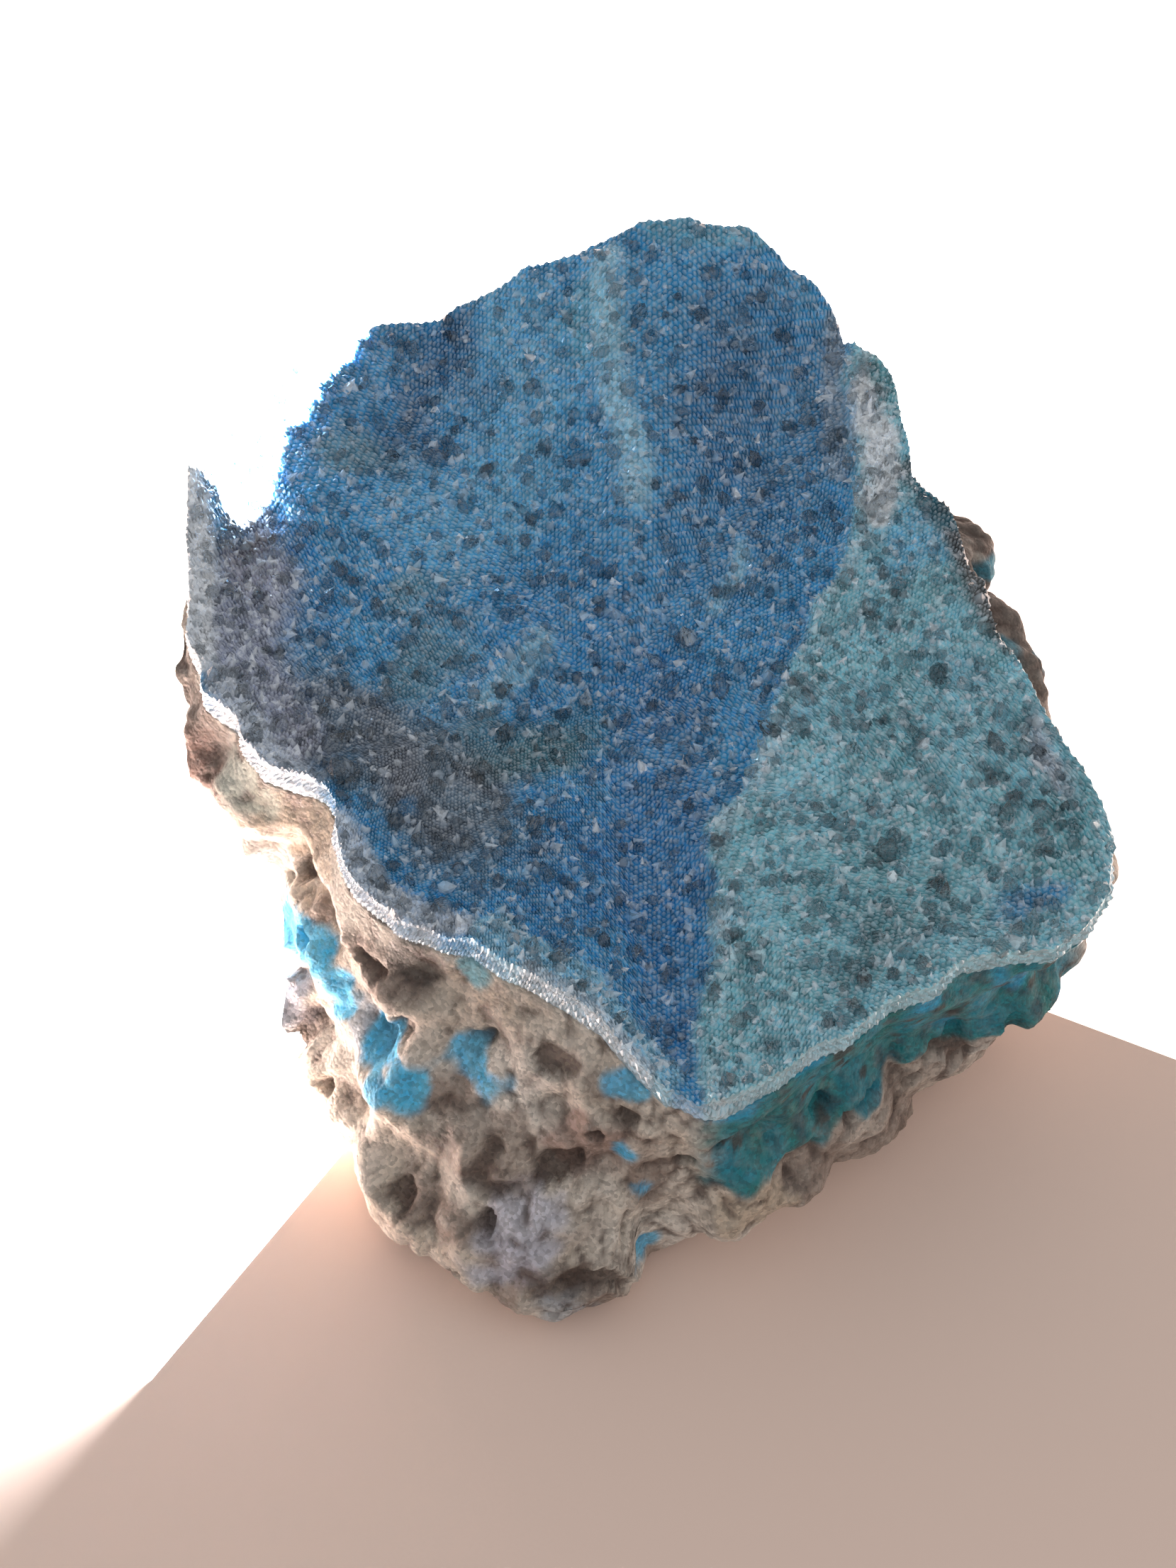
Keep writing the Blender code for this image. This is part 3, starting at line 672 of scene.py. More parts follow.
def mottle_group() -> bpy.types.NodeTree:
    """Cloudy mottling: layered noise of a given size, stretched to fill 0 to 1."""
    wiring, given, out = new_group(
        "mineral mottle", {"Clouds per metre": 400.0, "Contrast": 2.0}, {"Mottle": "NodeSocketFloat"}
    )
    place = wiring.node("ShaderNodeTexCoord").outputs["Object"]
    clouds = wiring.node("ShaderNodeTexNoise")
    wiring.feed(clouds.inputs["Vector"], place)
    wiring.feed(clouds.inputs["Scale"], given.outputs[0])
    clouds.inputs["Detail"].default_value = 4.0
    clouds.inputs["Roughness"].default_value = 0.6
    centred = wiring.maths("SUBTRACT", clouds.outputs["Fac"], 0.5)
    stretched = wiring.maths("MULTIPLY", centred, given.outputs[1])
    wiring.feed(out.inputs["Mottle"], wiring.maths("ADD", stretched, 0.5, clamp=True))
    return wiring.tree


@dataclass(frozen=True)
class Patterns:
    """The node groups that several finishes share."""

    grain: bpy.types.NodeTree
    mottle: bpy.types.NodeTree

    @classmethod
    def made(cls) -> "Patterns":
        """Builds both groups once."""
        return cls(grain_group(), mottle_group())

    def place(self, wiring: Wiring, group: bpy.types.NodeTree, **values: float) -> bpy.types.Node:
        """Puts a group into a material; values set its inputs in order.

        Args:
            wiring: The material's wiring.
            group: One of the shared groups.
            **values: The inputs' values, in their order.

        Returns:
            The group's node.
        """
        made = wiring.node("ShaderNodeGroup", node_tree=group)
        for socket, value in zip(made.inputs, values.values()):
            socket.default_value = value
        return made


@dataclass(frozen=True)
class CrystalFinish:
    """Finish of fine quartz over coloured chrysocolla: glossy facets, pale tips and random grain."""

    name: str
    cells: float = 2600.0
    grain_contrast: float = 0.35
    tip_paleness: float = 0.35
    mottle_paleness: float = 0.3
    roughness: tuple[float, float] = (0.1, 0.32)
    coat: float = 0.6
    coat_roughness: float = 0.04
    bump: float = 0.25
    bump_distance: float = 0.00008

    def material(self, patterns: Patterns) -> bpy.types.Material:
        """The finish as a material that reads the mesh's tint and tip attributes."""
        made = bpy.data.materials.new(self.name)
        made.use_nodes = True
        wiring = Wiring(made.node_tree)
        shader = made.node_tree.nodes["Principled BSDF"]
        grain = patterns.place(wiring, patterns.grain, cells=self.cells)
        mottle = patterns.place(wiring, patterns.mottle, clouds=700.0, contrast=2.6)
        tint = wiring.attribute("tint", "Color")
        tip = wiring.attribute("tip", "Fac")
        low = 1.0 - self.grain_contrast
        shade = wiring.span(grain.outputs["Grain"], 0.0, 1.0, low, 1.0 + self.grain_contrast)
        grained = wiring.node("ShaderNodeVectorMath", operation="SCALE")
        wiring.feed(grained.inputs[0], tint)
        wiring.feed(grained.inputs["Scale"], shade)
        pale = wiring.maths("MULTIPLY", tip, self.tip_paleness)
        cloudy = wiring.maths("MULTIPLY", mottle.outputs["Mottle"], self.mottle_paleness)
        share = wiring.maths("ADD", pale, wiring.maths("MULTIPLY", cloudy, tip), clamp=True)
        quartz = (*Tone.QUARTZ.linear, 1.0)
        wiring.feed(shader.inputs["Base Color"], wiring.blend(share, grained.outputs[0], quartz))
        gloss = wiring.span(grain.outputs["Grain"], 0.0, 1.0, *self.roughness)
        wiring.feed(shader.inputs["Roughness"], gloss)
        relief = wiring.node("ShaderNodeBump")
        relief.inputs["Strength"].default_value = self.bump
        relief.inputs["Distance"].default_value = self.bump_distance
        wiring.feed(relief.inputs["Height"], grain.outputs["Height"])
        wiring.feed(shader.inputs["Normal"], relief.outputs["Normal"])
        shader.inputs["IOR"].default_value = 1.54
        shader.inputs["Coat Weight"].default_value = self.coat
        shader.inputs["Coat Roughness"].default_value = self.coat_roughness
        shader.inputs["Coat IOR"].default_value = 1.54
        return made


@dataclass(frozen=True)
class ClearQuartzFinish:
    """Finish of clear quartz: see-through, nearly smooth, with a trace of blue."""

    name: str = "clear_quartz"
    colour: tuple[float, float, float] = (0.93, 0.97, 1.0)
    roughness: float = 0.03
    index: float = 1.54

    def material(self) -> bpy.types.Material:
        """The finish as a material with plain transmission."""
        made = bpy.data.materials.new(self.name)
        made.use_nodes = True
        shader = made.node_tree.nodes["Principled BSDF"]
        shader.inputs["Base Color"].default_value = (*self.colour, 1.0)
        shader.inputs["Roughness"].default_value = self.roughness
        shader.inputs["IOR"].default_value = self.index
        shader.inputs["Transmission Weight"].default_value = 1.0
        return made


@dataclass(frozen=True)
class RockFinish:
    """Finish of the host rock: matt crumbs with random grain, dusty mottling and a fine rough relief."""

    name: str
    cells: float = 3200.0
    grain_contrast: float = 0.3
    dust: float = 0.25
    roughness: tuple[float, float] = (0.55, 0.95)
    bump: float = 0.6
    bump_distance: float = 0.00015

    def material(self, patterns: Patterns) -> bpy.types.Material:
        """The finish as a material that reads the mesh's tint and tip attributes."""
        made = bpy.data.materials.new(self.name)
        made.use_nodes = True
        wiring = Wiring(made.node_tree)
        shader = made.node_tree.nodes["Principled BSDF"]
        grain = patterns.place(wiring, patterns.grain, cells=self.cells)
        mottle = patterns.place(wiring, patterns.mottle, clouds=1100.0, contrast=3.0)
        tint = wiring.attribute("tint", "Color")
        shade = wiring.span(grain.outputs["Grain"], 0.0, 1.0, 1.0 - self.grain_contrast, 1.0 + self.grain_contrast)
        grained = wiring.node("ShaderNodeVectorMath", operation="SCALE")
        wiring.feed(grained.inputs[0], tint)
        wiring.feed(grained.inputs["Scale"], shade)
        dusty = wiring.maths("MULTIPLY", mottle.outputs["Mottle"], wiring.attribute("tip", "Fac"))
        dusty = wiring.maths("MULTIPLY", dusty, self.dust)
        chalk = (*Tone.CHALK.linear, 1.0)
        wiring.feed(shader.inputs["Base Color"], wiring.blend(dusty, grained.outputs[0], chalk))
        wiring.feed(shader.inputs["Roughness"], wiring.span(mottle.outputs["Mottle"], 0.0, 1.0, *self.roughness))
        relief = wiring.node("ShaderNodeBump")
        relief.inputs["Strength"].default_value = self.bump
        relief.inputs["Distance"].default_value = self.bump_distance
        height = wiring.maths("ADD", grain.outputs["Height"], mottle.outputs["Mottle"])
        wiring.feed(relief.inputs["Height"], height)
        wiring.feed(shader.inputs["Normal"], relief.outputs["Normal"])
        return made


@dataclass(frozen=True)
class Crystals:
    """Many six-sided quartz points: short ones with twelve faces, or long ones with a prism between."""

    feet: Array
    axes: Array
    lengths: Array
    widths: Array
    root: float = 0.35
    prism_share: float = 0.0
    seed: int = 0

    def mesh(self) -> tuple[Array, Array, Array]:
        """Rings of six and an off-centre tip on each axis, closed by a point below the surface.

        Returns:
            Vertices in millimetres, triangles, and how near each vertex lies to its crystal's tip.
        """
        count = len(self.feet)
        rng = np.random.default_rng(SEED + self.seed)
        turn = np.arange(6) * np.pi / 3.0
        levels = (0.0, self.prism_share) if self.prism_share else (0.0,)
        side, other = tangents(self.axes, rng.uniform(0.0, 2.0 * np.pi, count))
        uneven = rng.uniform(0.82, 1.18, (count, 6))
        parts = [self.feet - self.axes * (self.root * self.lengths)[:, None] * 2.0]
        for level in levels:
            radius = 0.5 * self.widths[:, None] * uneven * (1.0 if level == 0.0 else 0.92)
            ring = self.feet[:, None] + (radius * np.cos(turn))[..., None] * side[:, None]
            ring = ring + (radius * np.sin(turn))[..., None] * other[:, None]
            rise = (level - self.root * (level == 0.0)) * self.lengths
            parts.append((ring + (rise[:, None] * self.axes)[:, None]).reshape(-1, 3))
        lean = rng.uniform(-0.16, 0.16, (count, 2)) * self.widths[:, None]
        tips = self.feet + self.axes * self.lengths[:, None]
        parts.append(tips + side * lean[:, :1] + other * lean[:, 1:])
        return self.arranged(parts, len(levels))

    def arranged(self, parts: list[Array], rings: int) -> tuple[Array, Array, Array]:
        """Puts the points crystal by crystal and adds the faces.

        Args:
            parts: The bottom points, each ring's points and the tips.
            rings: How many rings there are.

        Returns:
            Vertices, triangles, and how near each vertex lies to its crystal's tip.
        """
        count = len(self.feet)
        shaped = [part.reshape(count, -1, 3) for part in parts]
        points = np.concatenate(shaped, axis=1)
        size = points.shape[1]
        corner = np.arange(6)
        after = np.roll(corner, -1)
        faces = [np.stack([0 * corner, 1 + after, 1 + corner], axis=1)]
        for ring in range(rings - 1):
            faces.append(ring_band(1 + 6 * ring + corner, 7 + 6 * ring + corner))
        last = 1 + 6 * (rings - 1)
        faces.append(np.stack([last + corner, last + after, np.full(6, size - 1)], axis=1))
        template = np.concatenate(faces)
        triangles = (template + size * np.arange(count)[:, None, None]).reshape(-1, 3)
        near_tip = np.zeros((count, size))
        near_tip[:, -1] = 1.0
        if rings > 1:
            near_tip[:, last:-1] = 0.6
        return points.reshape(-1, 3), triangles, near_tip.ravel()


@dataclass(frozen=True)
class DruseColours:
    """Where each colour of the druse lies."""

    form: DruseForm
    ground: Tone = Tone.AZURE
    patches: tuple[Patch, ...] = (
        Patch(-21.0, 27.0, 13.0, 6.0, 20.0, Tone.MID_BLUE, 0.8),
        Patch(-31.5, 24.5, 3.0, 2.2, 30.0, Tone.BLUE_GREY, 0.6),
        Patch(-7.4, 29.0, 9.0, 4.5, 80.0, Tone.LIGHT_BLUE, 0.6),
        Patch(-9.5, 19.5, 8.0, 4.5, 25.0, Tone.LIGHT_BLUE, 0.5),
        Patch(12.8, 27.5, 10.0, 6.6, 100.0, Tone.BASIN_BLUE, 0.95),
        Patch(9.5, 16.5, 7.0, 5.5, 100.0, Tone.BASIN_BLUE, 0.6),
        Patch(-2.0, 8.5, 10.0, 6.0, 50.0, Tone.MID_BLUE, 0.8),
        Patch(4.7, -7.0, 15.0, 4.6, 95.0, Tone.DEEP_BLUE, 0.95),
        Patch(0.5, -15.0, 6.0, 5.5, 20.0, Tone.DEEP_BLUE, 0.7),
        Patch(5.2, -24.0, 8.0, 2.6, 97.0, Tone.DEEP_BLUE, 0.95),
        Patch(-13.6, 30.0, 7.0, 2.4, 65.0, Tone.FURROW_BLUE, 0.75),
        # Painted shade: this dark teal patch fills the hollow behind the white left rim, where shade falls.
        Patch(-28.4, 18.4, 4.2, 2.2, 90.0, Tone.DARK_TEAL, 0.95),
        Patch(-28.2, 12.6, 3.4, 2.6, 90.0, Tone.BROWN_GREY, 0.9),
        Patch(-24.5, 9.0, 8.0, 2.2, 105.0, Tone.DEEP_BLUE, 0.6),
        Patch(-14.7, 10.3, 3.4, 2.4, 20.0, Tone.OLIVE_GREY, 0.5),
        Patch(-14.0, 3.4, 4.4, 2.6, 60.0, Tone.OLIVE_GREY, 0.55),
        Patch(-19.4, 22.5, 3.4, 2.2, 30.0, Tone.OLIVE_GREY, 0.55),
        Patch(-1.0, 34.3, 2.4, 2.6, 0.0, Tone.GREEN_AQUA, 0.5),
        Patch(-12.6, -8.2, 7.4, 5.2, -60.0, Tone.SMOKY_GREY, 0.95),
        Patch(-19.0, -3.4, 6.6, 3.8, -40.0, Tone.SMOKY_GREY, 0.85),
        Patch(-14.3, -10.0, 1.4, 1.0, 30.0, Tone.MID_BLUE, 0.6),
        # Painted shade: these two grey-teal patches lie on the shaded slope and hollow below the small ridge.
        Patch(-4.9, -3.6, 4.4, 3.2, 40.0, Tone.GREY_TEAL, 0.85),
        Patch(-9.4, -4.4, 2.8, 2.4, 0.0, Tone.GREY_TEAL, 0.6),
        Patch(-5.8, -13.7, 1.8, 1.2, 20.0, Tone.FURROW_BLUE, 0.8),
        Patch(-23.2, -1.0, 1.6, 0.9, -40.0, Tone.FURROW_BLUE, 0.7),
        Patch(-11.3, -20.6, 1.6, 1.0, -20.0, Tone.FURROW_BLUE, 0.6),
        Patch(9.4, 42.4, 10.0, 1.1, -10.0, Tone.GREEN_AQUA, 0.5),
    )
    layer_patches: tuple[Patch, ...] = (
        Patch(25.3, 13.9, 3.6, 2.8, -40.0, Tone.LIGHT_BLUE, 0.6),
        Patch(22.6, 27.4, 3.0, 2.2, 80.0, Tone.GREEN_AQUA, 0.8),
        Patch(36.8, -11.6, 5.4, 2.8, 80.0, Tone.GREEN_AQUA, 0.75),
        Patch(33.7, -17.8, 3.4, 1.7, 25.0, Tone.MID_BLUE, 0.8),
        Patch(24.0, -16.0, 9.0, 6.0, 40.0, Tone.GREEN_AQUA, 0.45),
        Patch(21.4, -21.8, 5.5, 2.6, 25.0, Tone.GREY_TEAL, 0.5),
        Patch(13.0, -25.8, 4.0, 3.4, 40.0, Tone.GREEN_AQUA, 0.45),
        Patch(25.0, -5.0, 6.0, 4.0, 60.0, Tone.GREEN_AQUA, 0.35),
        Patch(35.4, -4.6, 4.0, 1.2, -60.0, Tone.LILAC_GREY, 0.7),
        Patch(13.0, -4.0, 6.0, 1.6, 60.0, Tone.ICE_BLUE, 0.5),
    )
    streaks: tuple[Streak, ...] = (
        Streak(((0.8, 39.0), (0.4, 33.0), (1.6, 27.7), (2.6, 23.5), (2.9, 19.6)), 1.2, Tone.ICE_BLUE, 0.75, 0.7),
        Streak(((11.0, 14.6), (10.4, 11.8), (9.4, 9.6)), 0.9, Tone.ICE_BLUE, 0.6, 0.7),
        # Painted highlight: this pale ice-blue strip runs along the crest of the small ridge and stands in for the
        # light on it.
        Streak(((-4.6, 6.6), (-6.6, 4.0), (-9.6, -0.6)), 0.9, Tone.ICE_BLUE, 0.6, 0.7),
        Streak(((-27.6, 9.4), (-28.4, 4.0), (-27.6, 0.0), (-24.6, -4.4)), 3.2, Tone.LILAC_GREY, 0.9),
        Streak(((-33.0, 22.6), (-32.8, 16.0), (-31.9, 9.0), (-31.8, 2.6)), 1.6, Tone.SNOW, 0.95, 0.25),
        Streak(((-30.0, 0.0), (-26.0, -6.0), (-22.6, -8.2)), 1.5, Tone.QUARTZ, 0.85),
        Streak(((-20.9, -12.4), (-18.0, -17.8), (-14.4, -19.8), (-10.8, -20.6)), 1.5, Tone.QUARTZ, 0.9),
        Streak(((-7.8, -21.6), (-3.7, -24.2), (0.4, -27.8), (4.2, -31.8)), 2.1, Tone.ICE_BLUE, 0.9, 0.25),
        Streak(((-5.0, -24.2), (-0.6, -28.0), (3.4, -31.8)), 0.9, Tone.QUARTZ, 0.7),
    )
    white_band: Streak = Streak(((21.2, 28.0), (21.2, 24.4), (22.4, 19.6), (22.0, 17.0)), 1.2, Tone.SNOW, 0.9)
    step_shadow: Streak = Streak(((19.4, 34.0), (19.1, 28.0), (19.4, 21.0)), 0.9, Tone.BLUE_GREY, 0.6)
    layer_rim: float = 1.1
    ledge_line: Line = ((25.6, 19.0), (28.6, 14.0), (30.6, 8.0), (32.6, 4.4))

    def tint(self, places: Array) -> Array:
        """The druse's colour at places: patches and streaks over the ground, all with wandering edges.

        Args:
            places: Places (N, 2).

        Returns:
            Linear colours (N, 3).
        """
        flat = on_plane(places)
        drift = np.stack([noise(flat, 4.6, SEED + 50), noise(flat, 4.6, SEED + 51)], axis=1) * 1.5
        drift += np.stack([noise(flat, 1.5, SEED + 52), noise(flat, 1.5, SEED + 53)], axis=1) * 0.7
        moved = places + drift
        colour = np.tile(self.ground.linear, (len(places), 1))
        for patch in self.patches:
            colour = mix(colour, patch.tone.linear, patch.weight(moved))
        cloud = 0.5 + 0.5 * noise(flat, 3.1, SEED + 54)
        colour = mix(colour, Tone.LIGHT_BLUE.linear, 0.22 * cloud**2)
        colour = mix(colour, self.step_shadow.tone.linear, self.step_shadow.weight(places))
        colour = self.with_layer(colour, places, moved, flat)
        for streak in self.streaks:
            colour = mix(colour, streak.tone.linear, streak.weight(places + 0.45 * drift))
        return colour

    def with_layer(self, colour: Array, places: Array, moved: Array, flat: Array) -> Array:
        """The colours with the raised pale layer laid over them.

        Args:
            colour: Colours so far (N, 3).
            places: Places (N, 2).
            moved: The places that wandering patches are read at.
            flat: The places with a third coordinate of zero.

        Returns:
            Colours (N, 3).
        """
        depth = self.form.layer_depth(places + 0.5 * (moved - places))
        cloud = 0.5 + 0.5 * noise(flat, 2.4, SEED + 55)
        fine = 0.5 + 0.5 * noise(flat, 0.9, SEED + 56)
        layer = mix(np.tile(Tone.PALE_AQUA.linear, (len(places), 1)), Tone.ICE_BLUE.linear, 0.5 * cloud)
        layer = mix(layer, Tone.GREEN_AQUA.linear, 0.45 * fine**2)
        for patch in self.layer_patches:
            layer = mix(layer, patch.tone.linear, patch.weight(moved))
        rim = smoothstep(1.0 - np.abs(depth - self.layer_rim) / self.layer_rim)
        layer = mix(layer, Tone.QUARTZ.linear, 0.5 * rim * cloud)
        layer = mix(layer, self.white_band.tone.linear, self.white_band.weight(moved))
        colour = mix(colour, layer, smoothstep(0.5 + depth / 0.9))
        ledge = smoothstep(1.5 - distance_to_line(places, self.ledge_line) / 1.4)
        colour = mix(colour, Tone.DARK_BROWN.linear, ledge * 0.9)
        return mix(colour, Tone.BAND_TEAL.linear, ledge * smoothstep(2.0 * cloud - 1.0))

    def frost(self, places: Array) -> Array:
        """How sugary each place is, from 0 to 1: high along the pale streaks, the layer's rim and its top."""
        frost = np.zeros(len(places))
        for streak in (*self.streaks[3:], self.white_band):
            frost = np.maximum(frost, streak.weight(places))
        depth = self.form.layer_depth(places)
        on_layer = smoothstep(0.5 + depth / 0.9)
        return np.maximum(frost, on_layer * (0.35 + 0.5 * np.exp(-np.maximum(depth, 0.0) / 1.4)))


@dataclass
class Druse:
    """The crust's visible pieces: its sheet of fine points, and clear and white crystals."""

    patterns: Patterns
    form: DruseForm = field(default_factory=DruseForm)
    rings: int = 160
    side_rows: int = 8
    lift: float = 0.3
    tip_height: float = 0.24
    tip_spread: float = 0.16
    shake: float = 0.26
    lump_size: float = 1.9
    lump_height: float = 0.5
    under_shares: tuple[float, ...] = (1.0, 0.85, 0.6, 0.3)

    def __post_init__(self) -> None:
        """Sets up the colours and the finishes."""
        self.colours = DruseColours(self.form)
        self.crystal = CrystalFinish("druzy_quartz_over_chrysocolla").material(self.patterns)
        self.sugar = CrystalFinish(
            "sugar_quartz", cells=3400.0, grain_contrast=0.12, tip_paleness=0.5, roughness=(0.08, 0.3)
        ).material(self.patterns)
        self.clear = ClearQuartzFinish().material()

    def honeycomb(self) -> tuple[Array, Array, Array, Array, Array]:
        """A triangular lattice in a hexagon, whose rings are bent into circles.

        The two parameters are the steps q and r along two sides of the lattice. The ring of a point is the
        greatest of |q|, |r| and |q + r|, and its angle is a sixth of a turn for each side of the hexagon
        plus its share of that side.

        Returns:
            Steps (N, 2), angles, shares of the radius, triangles, and the outer ring anticlockwise.
        """
        reach = np.arange(-self.rings, self.rings + 1)
        q, r = np.meshgrid(reach, reach, indexing="ij")
        ring = np.maximum(np.maximum(np.abs(q), np.abs(r)), np.abs(q + r))
        kept = ring <= self.rings
        number = np.where(kept, np.cumsum(kept.ravel()).reshape(kept.shape) - 1, -1)
        corners = (number[:-1, :-1], number[1:, :-1], number[:-1, 1:], number[1:, 1:])
        first = np.stack([corners[0], corners[1], corners[2]], axis=-1).reshape(-1, 3)
        second = np.stack([corners[1], corners[3], corners[2]], axis=-1).reshape(-1, 3)
        triangles = np.concatenate([first, second])
        triangles = triangles[np.all(triangles >= 0, axis=1)]
        direction = np.mod(np.arctan2(np.sqrt(0.75) * r[kept], q[kept] + 0.5 * r[kept]), 2.0 * np.pi)
        sixth = np.pi / 3.0
        side = np.floor(direction / sixth)
        part = direction - side * sixth
        part = np.sin(part) / (np.sin(part) + np.sin(sixth - part))
        angles = (side + part) * sixth
        outer = np.flatnonzero(ring[kept] == self.rings)
        outer = outer[np.argsort(angles[outer])]
        return np.stack([q[kept], r[kept]], axis=1), angles, ring[kept] / self.rings, triangles, outer

    def surface(self, places: Array) -> Array:
        """Height of the druse with its lumps, without the finest points."""
        flat = on_plane(places)
        near, value = cell_noise(flat + 0.35 * noise(flat, 1.1, SEED + 60)[:, None], self.lump_size, SEED + 61)
        lump = self.lump_height * (1.0 + 0.5 * value) * (0.55 - near)
        return self.form.height(places) + self.lift + lump + 0.22 * noise(flat, 1.3, SEED + 62)

    def sheet(self) -> bpy.types.Object:
        """The crust as one closed sheet: a honeycomb of points on top, a broken side and a plain underside."""
        steps, angles, shares, triangles, outer = self.honeycomb()
        reach = self.form.edge.at(angles) + self.form.ragged(angles) * shares**8
        pitch = self.form.edge.at(angles) / self.rings
        places = place_at(angles, reach * shares)
        key = np.column_stack([steps, np.zeros(len(steps), np.int64)])
        jitter = np.stack([lattice_value(key + (0, 0, axis), SEED + 63) for axis in (1, 2)], axis=1)
        inner = (shares < 1.0)[:, None]
        places = places + jitter * inner * (self.shake * pitch)[:, None]
        tips = (steps[:, 0] - steps[:, 1]) % 3 == 0
        frost = self.colours.frost(places)
        spread = lattice_value(key, SEED + 64)
        rise = np.where(tips, self.tip_height + self.tip_spread * spread, 0.05 * spread) * (1.0 + 0.6 * frost)
        top = np.column_stack([places, self.surface(places) + rise])
        colour = self.colours.tint(places)
        points, tints, tip, faces = self.closed(top, colour, tips.astype(float), triangles, outer)
        fields = {"tint": tints, "tip": tip}
        piece = add_piece("druse_sheet", points, faces, fields, self.crystal)
        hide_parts("druzy_crust")
        return piece

    def closed(self, top: Array, colour: Array, tip: Array, triangles: Array,
               outer: Array) -> tuple[Array, Array, Array, Array]:
        """Adds the broken side and the underside to the top.

        The side goes straight down from the rim to the seam and strays sideways by noise. The underside
        follows the seam on rings that shrink to one middle point.

        Args:
            top: The top's vertices.
            colour: Their colours.
            tip: How near each lies to a tip.
            triangles: The top's triangles.
            outer: Its rim, anticlockwise.

        Returns:
            Vertices, colours, tip shares and triangles of the whole sheet.
        """
        rim = top[outer]
        angle, radius = bearings(rim)
        low = self.form.seam(rim[:, :2])
        ring = np.arange(len(outer))
        rows = [outer]
        points, tints, tip_parts = [top], [colour], [tip]
        faces = [triangles]
        start = len(top)
        for row in range(1, self.side_rows + 1):
            share = row / self.side_rows
            level = rim[:, 2] + (low - rim[:, 2]) * share
            line = np.column_stack([place_at(angle, radius), level])
            bulge = np.sin(np.pi * share)
            stray = 0.55 * noise(line, self.form.chip, SEED + 65) * bulge
            sharp = (ring - row) % 3 == 0
            stray = stray + np.where(sharp, 0.22, -0.05) * bulge
            line[:, :2] = place_at(angle, radius + stray)
            points.append(line)
            edge = self.side_colour(line, colour[outer], share)
            tints.append(edge)
            tip_parts.append(sharp * 0.8)
            rows.append(start + ring)
            faces.append(ring_band(rows[-1], rows[-2]))
            start += len(outer)
        for share in self.under_shares[1:]:
            spot = place_at(angle, radius * share)
            points.append(np.column_stack([spot, self.form.seam(spot)]))
            tints.append(tints[-1])
            tip_parts.append(0.0 * ring)
            rows.append(start + ring)
            faces.append(ring_band(rows[-1], rows[-2]))
            start += len(outer)
        hub = np.array([MIDDLE])
        points.append(np.column_stack([hub, self.form.seam(hub)]))
        tints.append(tints[-1][:1])
        tip_parts.append(np.zeros(1))
        faces.append(np.stack([np.roll(rows[-1], -1), rows[-1], np.full(len(outer), start)], axis=1))
        return np.concatenate(points), np.concatenate(tints), np.concatenate(tip_parts), np.concatenate(faces)

    def side_colour(self, line: Array, above: Array, share: float) -> Array:
        """Colour of the broken side: quartz white with patches of blue, darker towards the rock.

        Args:
            line: The ring's points.
            above: Colours of the rim above them.
            share: How far down the side the ring lies.

        Returns:
            Colours (N, 3).
        """
        cloud = 0.5 + 0.5 * noise(line, 2.2, SEED + 66)
        colour = mix(above, Tone.QUARTZ.linear, 0.45 * cloud)
        return mix(colour, Tone.GREY_TEAL.linear, 0.5 * share * (1.0 - cloud))

    def scattered(self, count: int, seed: int, density: object) -> Array:
        """Places on the druse, drawn evenly and kept by a density from 0 to 1.

        Args:
            count: How many are drawn before any is dropped.
            seed: Number of the draw.
            density: Function of places (N, 2).

        Returns:
            Places (M, 2).
        """
        rng = np.random.default_rng(SEED + seed)
        places = rng.uniform((-35.0, -36.0), (41.0, 45.0), (count, 2))
        angle, radius = bearings(places)
        inside = radius < self.form.edge_reach(angle) - 0.3
        kept = inside & (rng.uniform(size=count) < density(places))
        return places[kept]

    def leaning(self, places: Array, spread: float, seed: int) -> Array:
        """Directions of crystals: the surface's own, tipped at random by up to spread."""
        rng = np.random.default_rng(SEED + seed)
        return unit(self.form.normals(places) + rng.normal(0.0, spread, (len(places), 3)))

    def feet(self, places: Array) -> Array:
        """Points on the lumpy surface above places."""
        return np.column_stack([places, self.surface(places)])

    def coloured_points(self) -> bpy.types.Object:
        """Short crystals all over the druse in the colour below them, paler where it is sugary."""
        places = self.scattered(15000, 70, lambda spots: 0.45 + 0.55 * self.colours.frost(spots))
        rng = np.random.default_rng(SEED + 71)
        widths = rng.lognormal(np.log(0.62), 0.28, len(places))
        lengths = widths * rng.uniform(0.5, 0.95, len(places))
        body = Crystals(self.feet(places), self.leaning(places, 0.42, 72), lengths, widths, seed=73)
        points, triangles, near_tip = body.mesh()
        paleness = rng.beta(1.3, 3.0, len(places)) + 0.25 * self.colours.frost(places)
        colour = mix(self.colours.tint(places), Tone.QUARTZ.linear, np.clip(paleness, 0.0, 0.95))
        fields = {"tint": np.repeat(colour, 8, axis=0), "tip": near_tip}
        return add_piece("druse_points", points, triangles, fields, self.crystal)

    def clear_points(self) -> bpy.types.Object:
        """Clear quartz points, larger and fewer, all over the druse."""
        places = self.scattered(3600, 80, lambda spots: 0.5 + 0.5 * self.colours.frost(spots))
        rng = np.random.default_rng(SEED + 81)
        widths = rng.lognormal(np.log(0.85), 0.25, len(places))
        lengths = widths * rng.uniform(0.7, 1.3, len(places))
        axes = self.leaning(places, 0.4, 82)
        body = Crystals(self.feet(places), axes, lengths, widths, root=0.25, prism_share=0.45, seed=83)
        points, triangles, near_tip = body.mesh()
        return add_piece("clear_quartz_points", points, triangles, {"tip": near_tip}, self.clear)


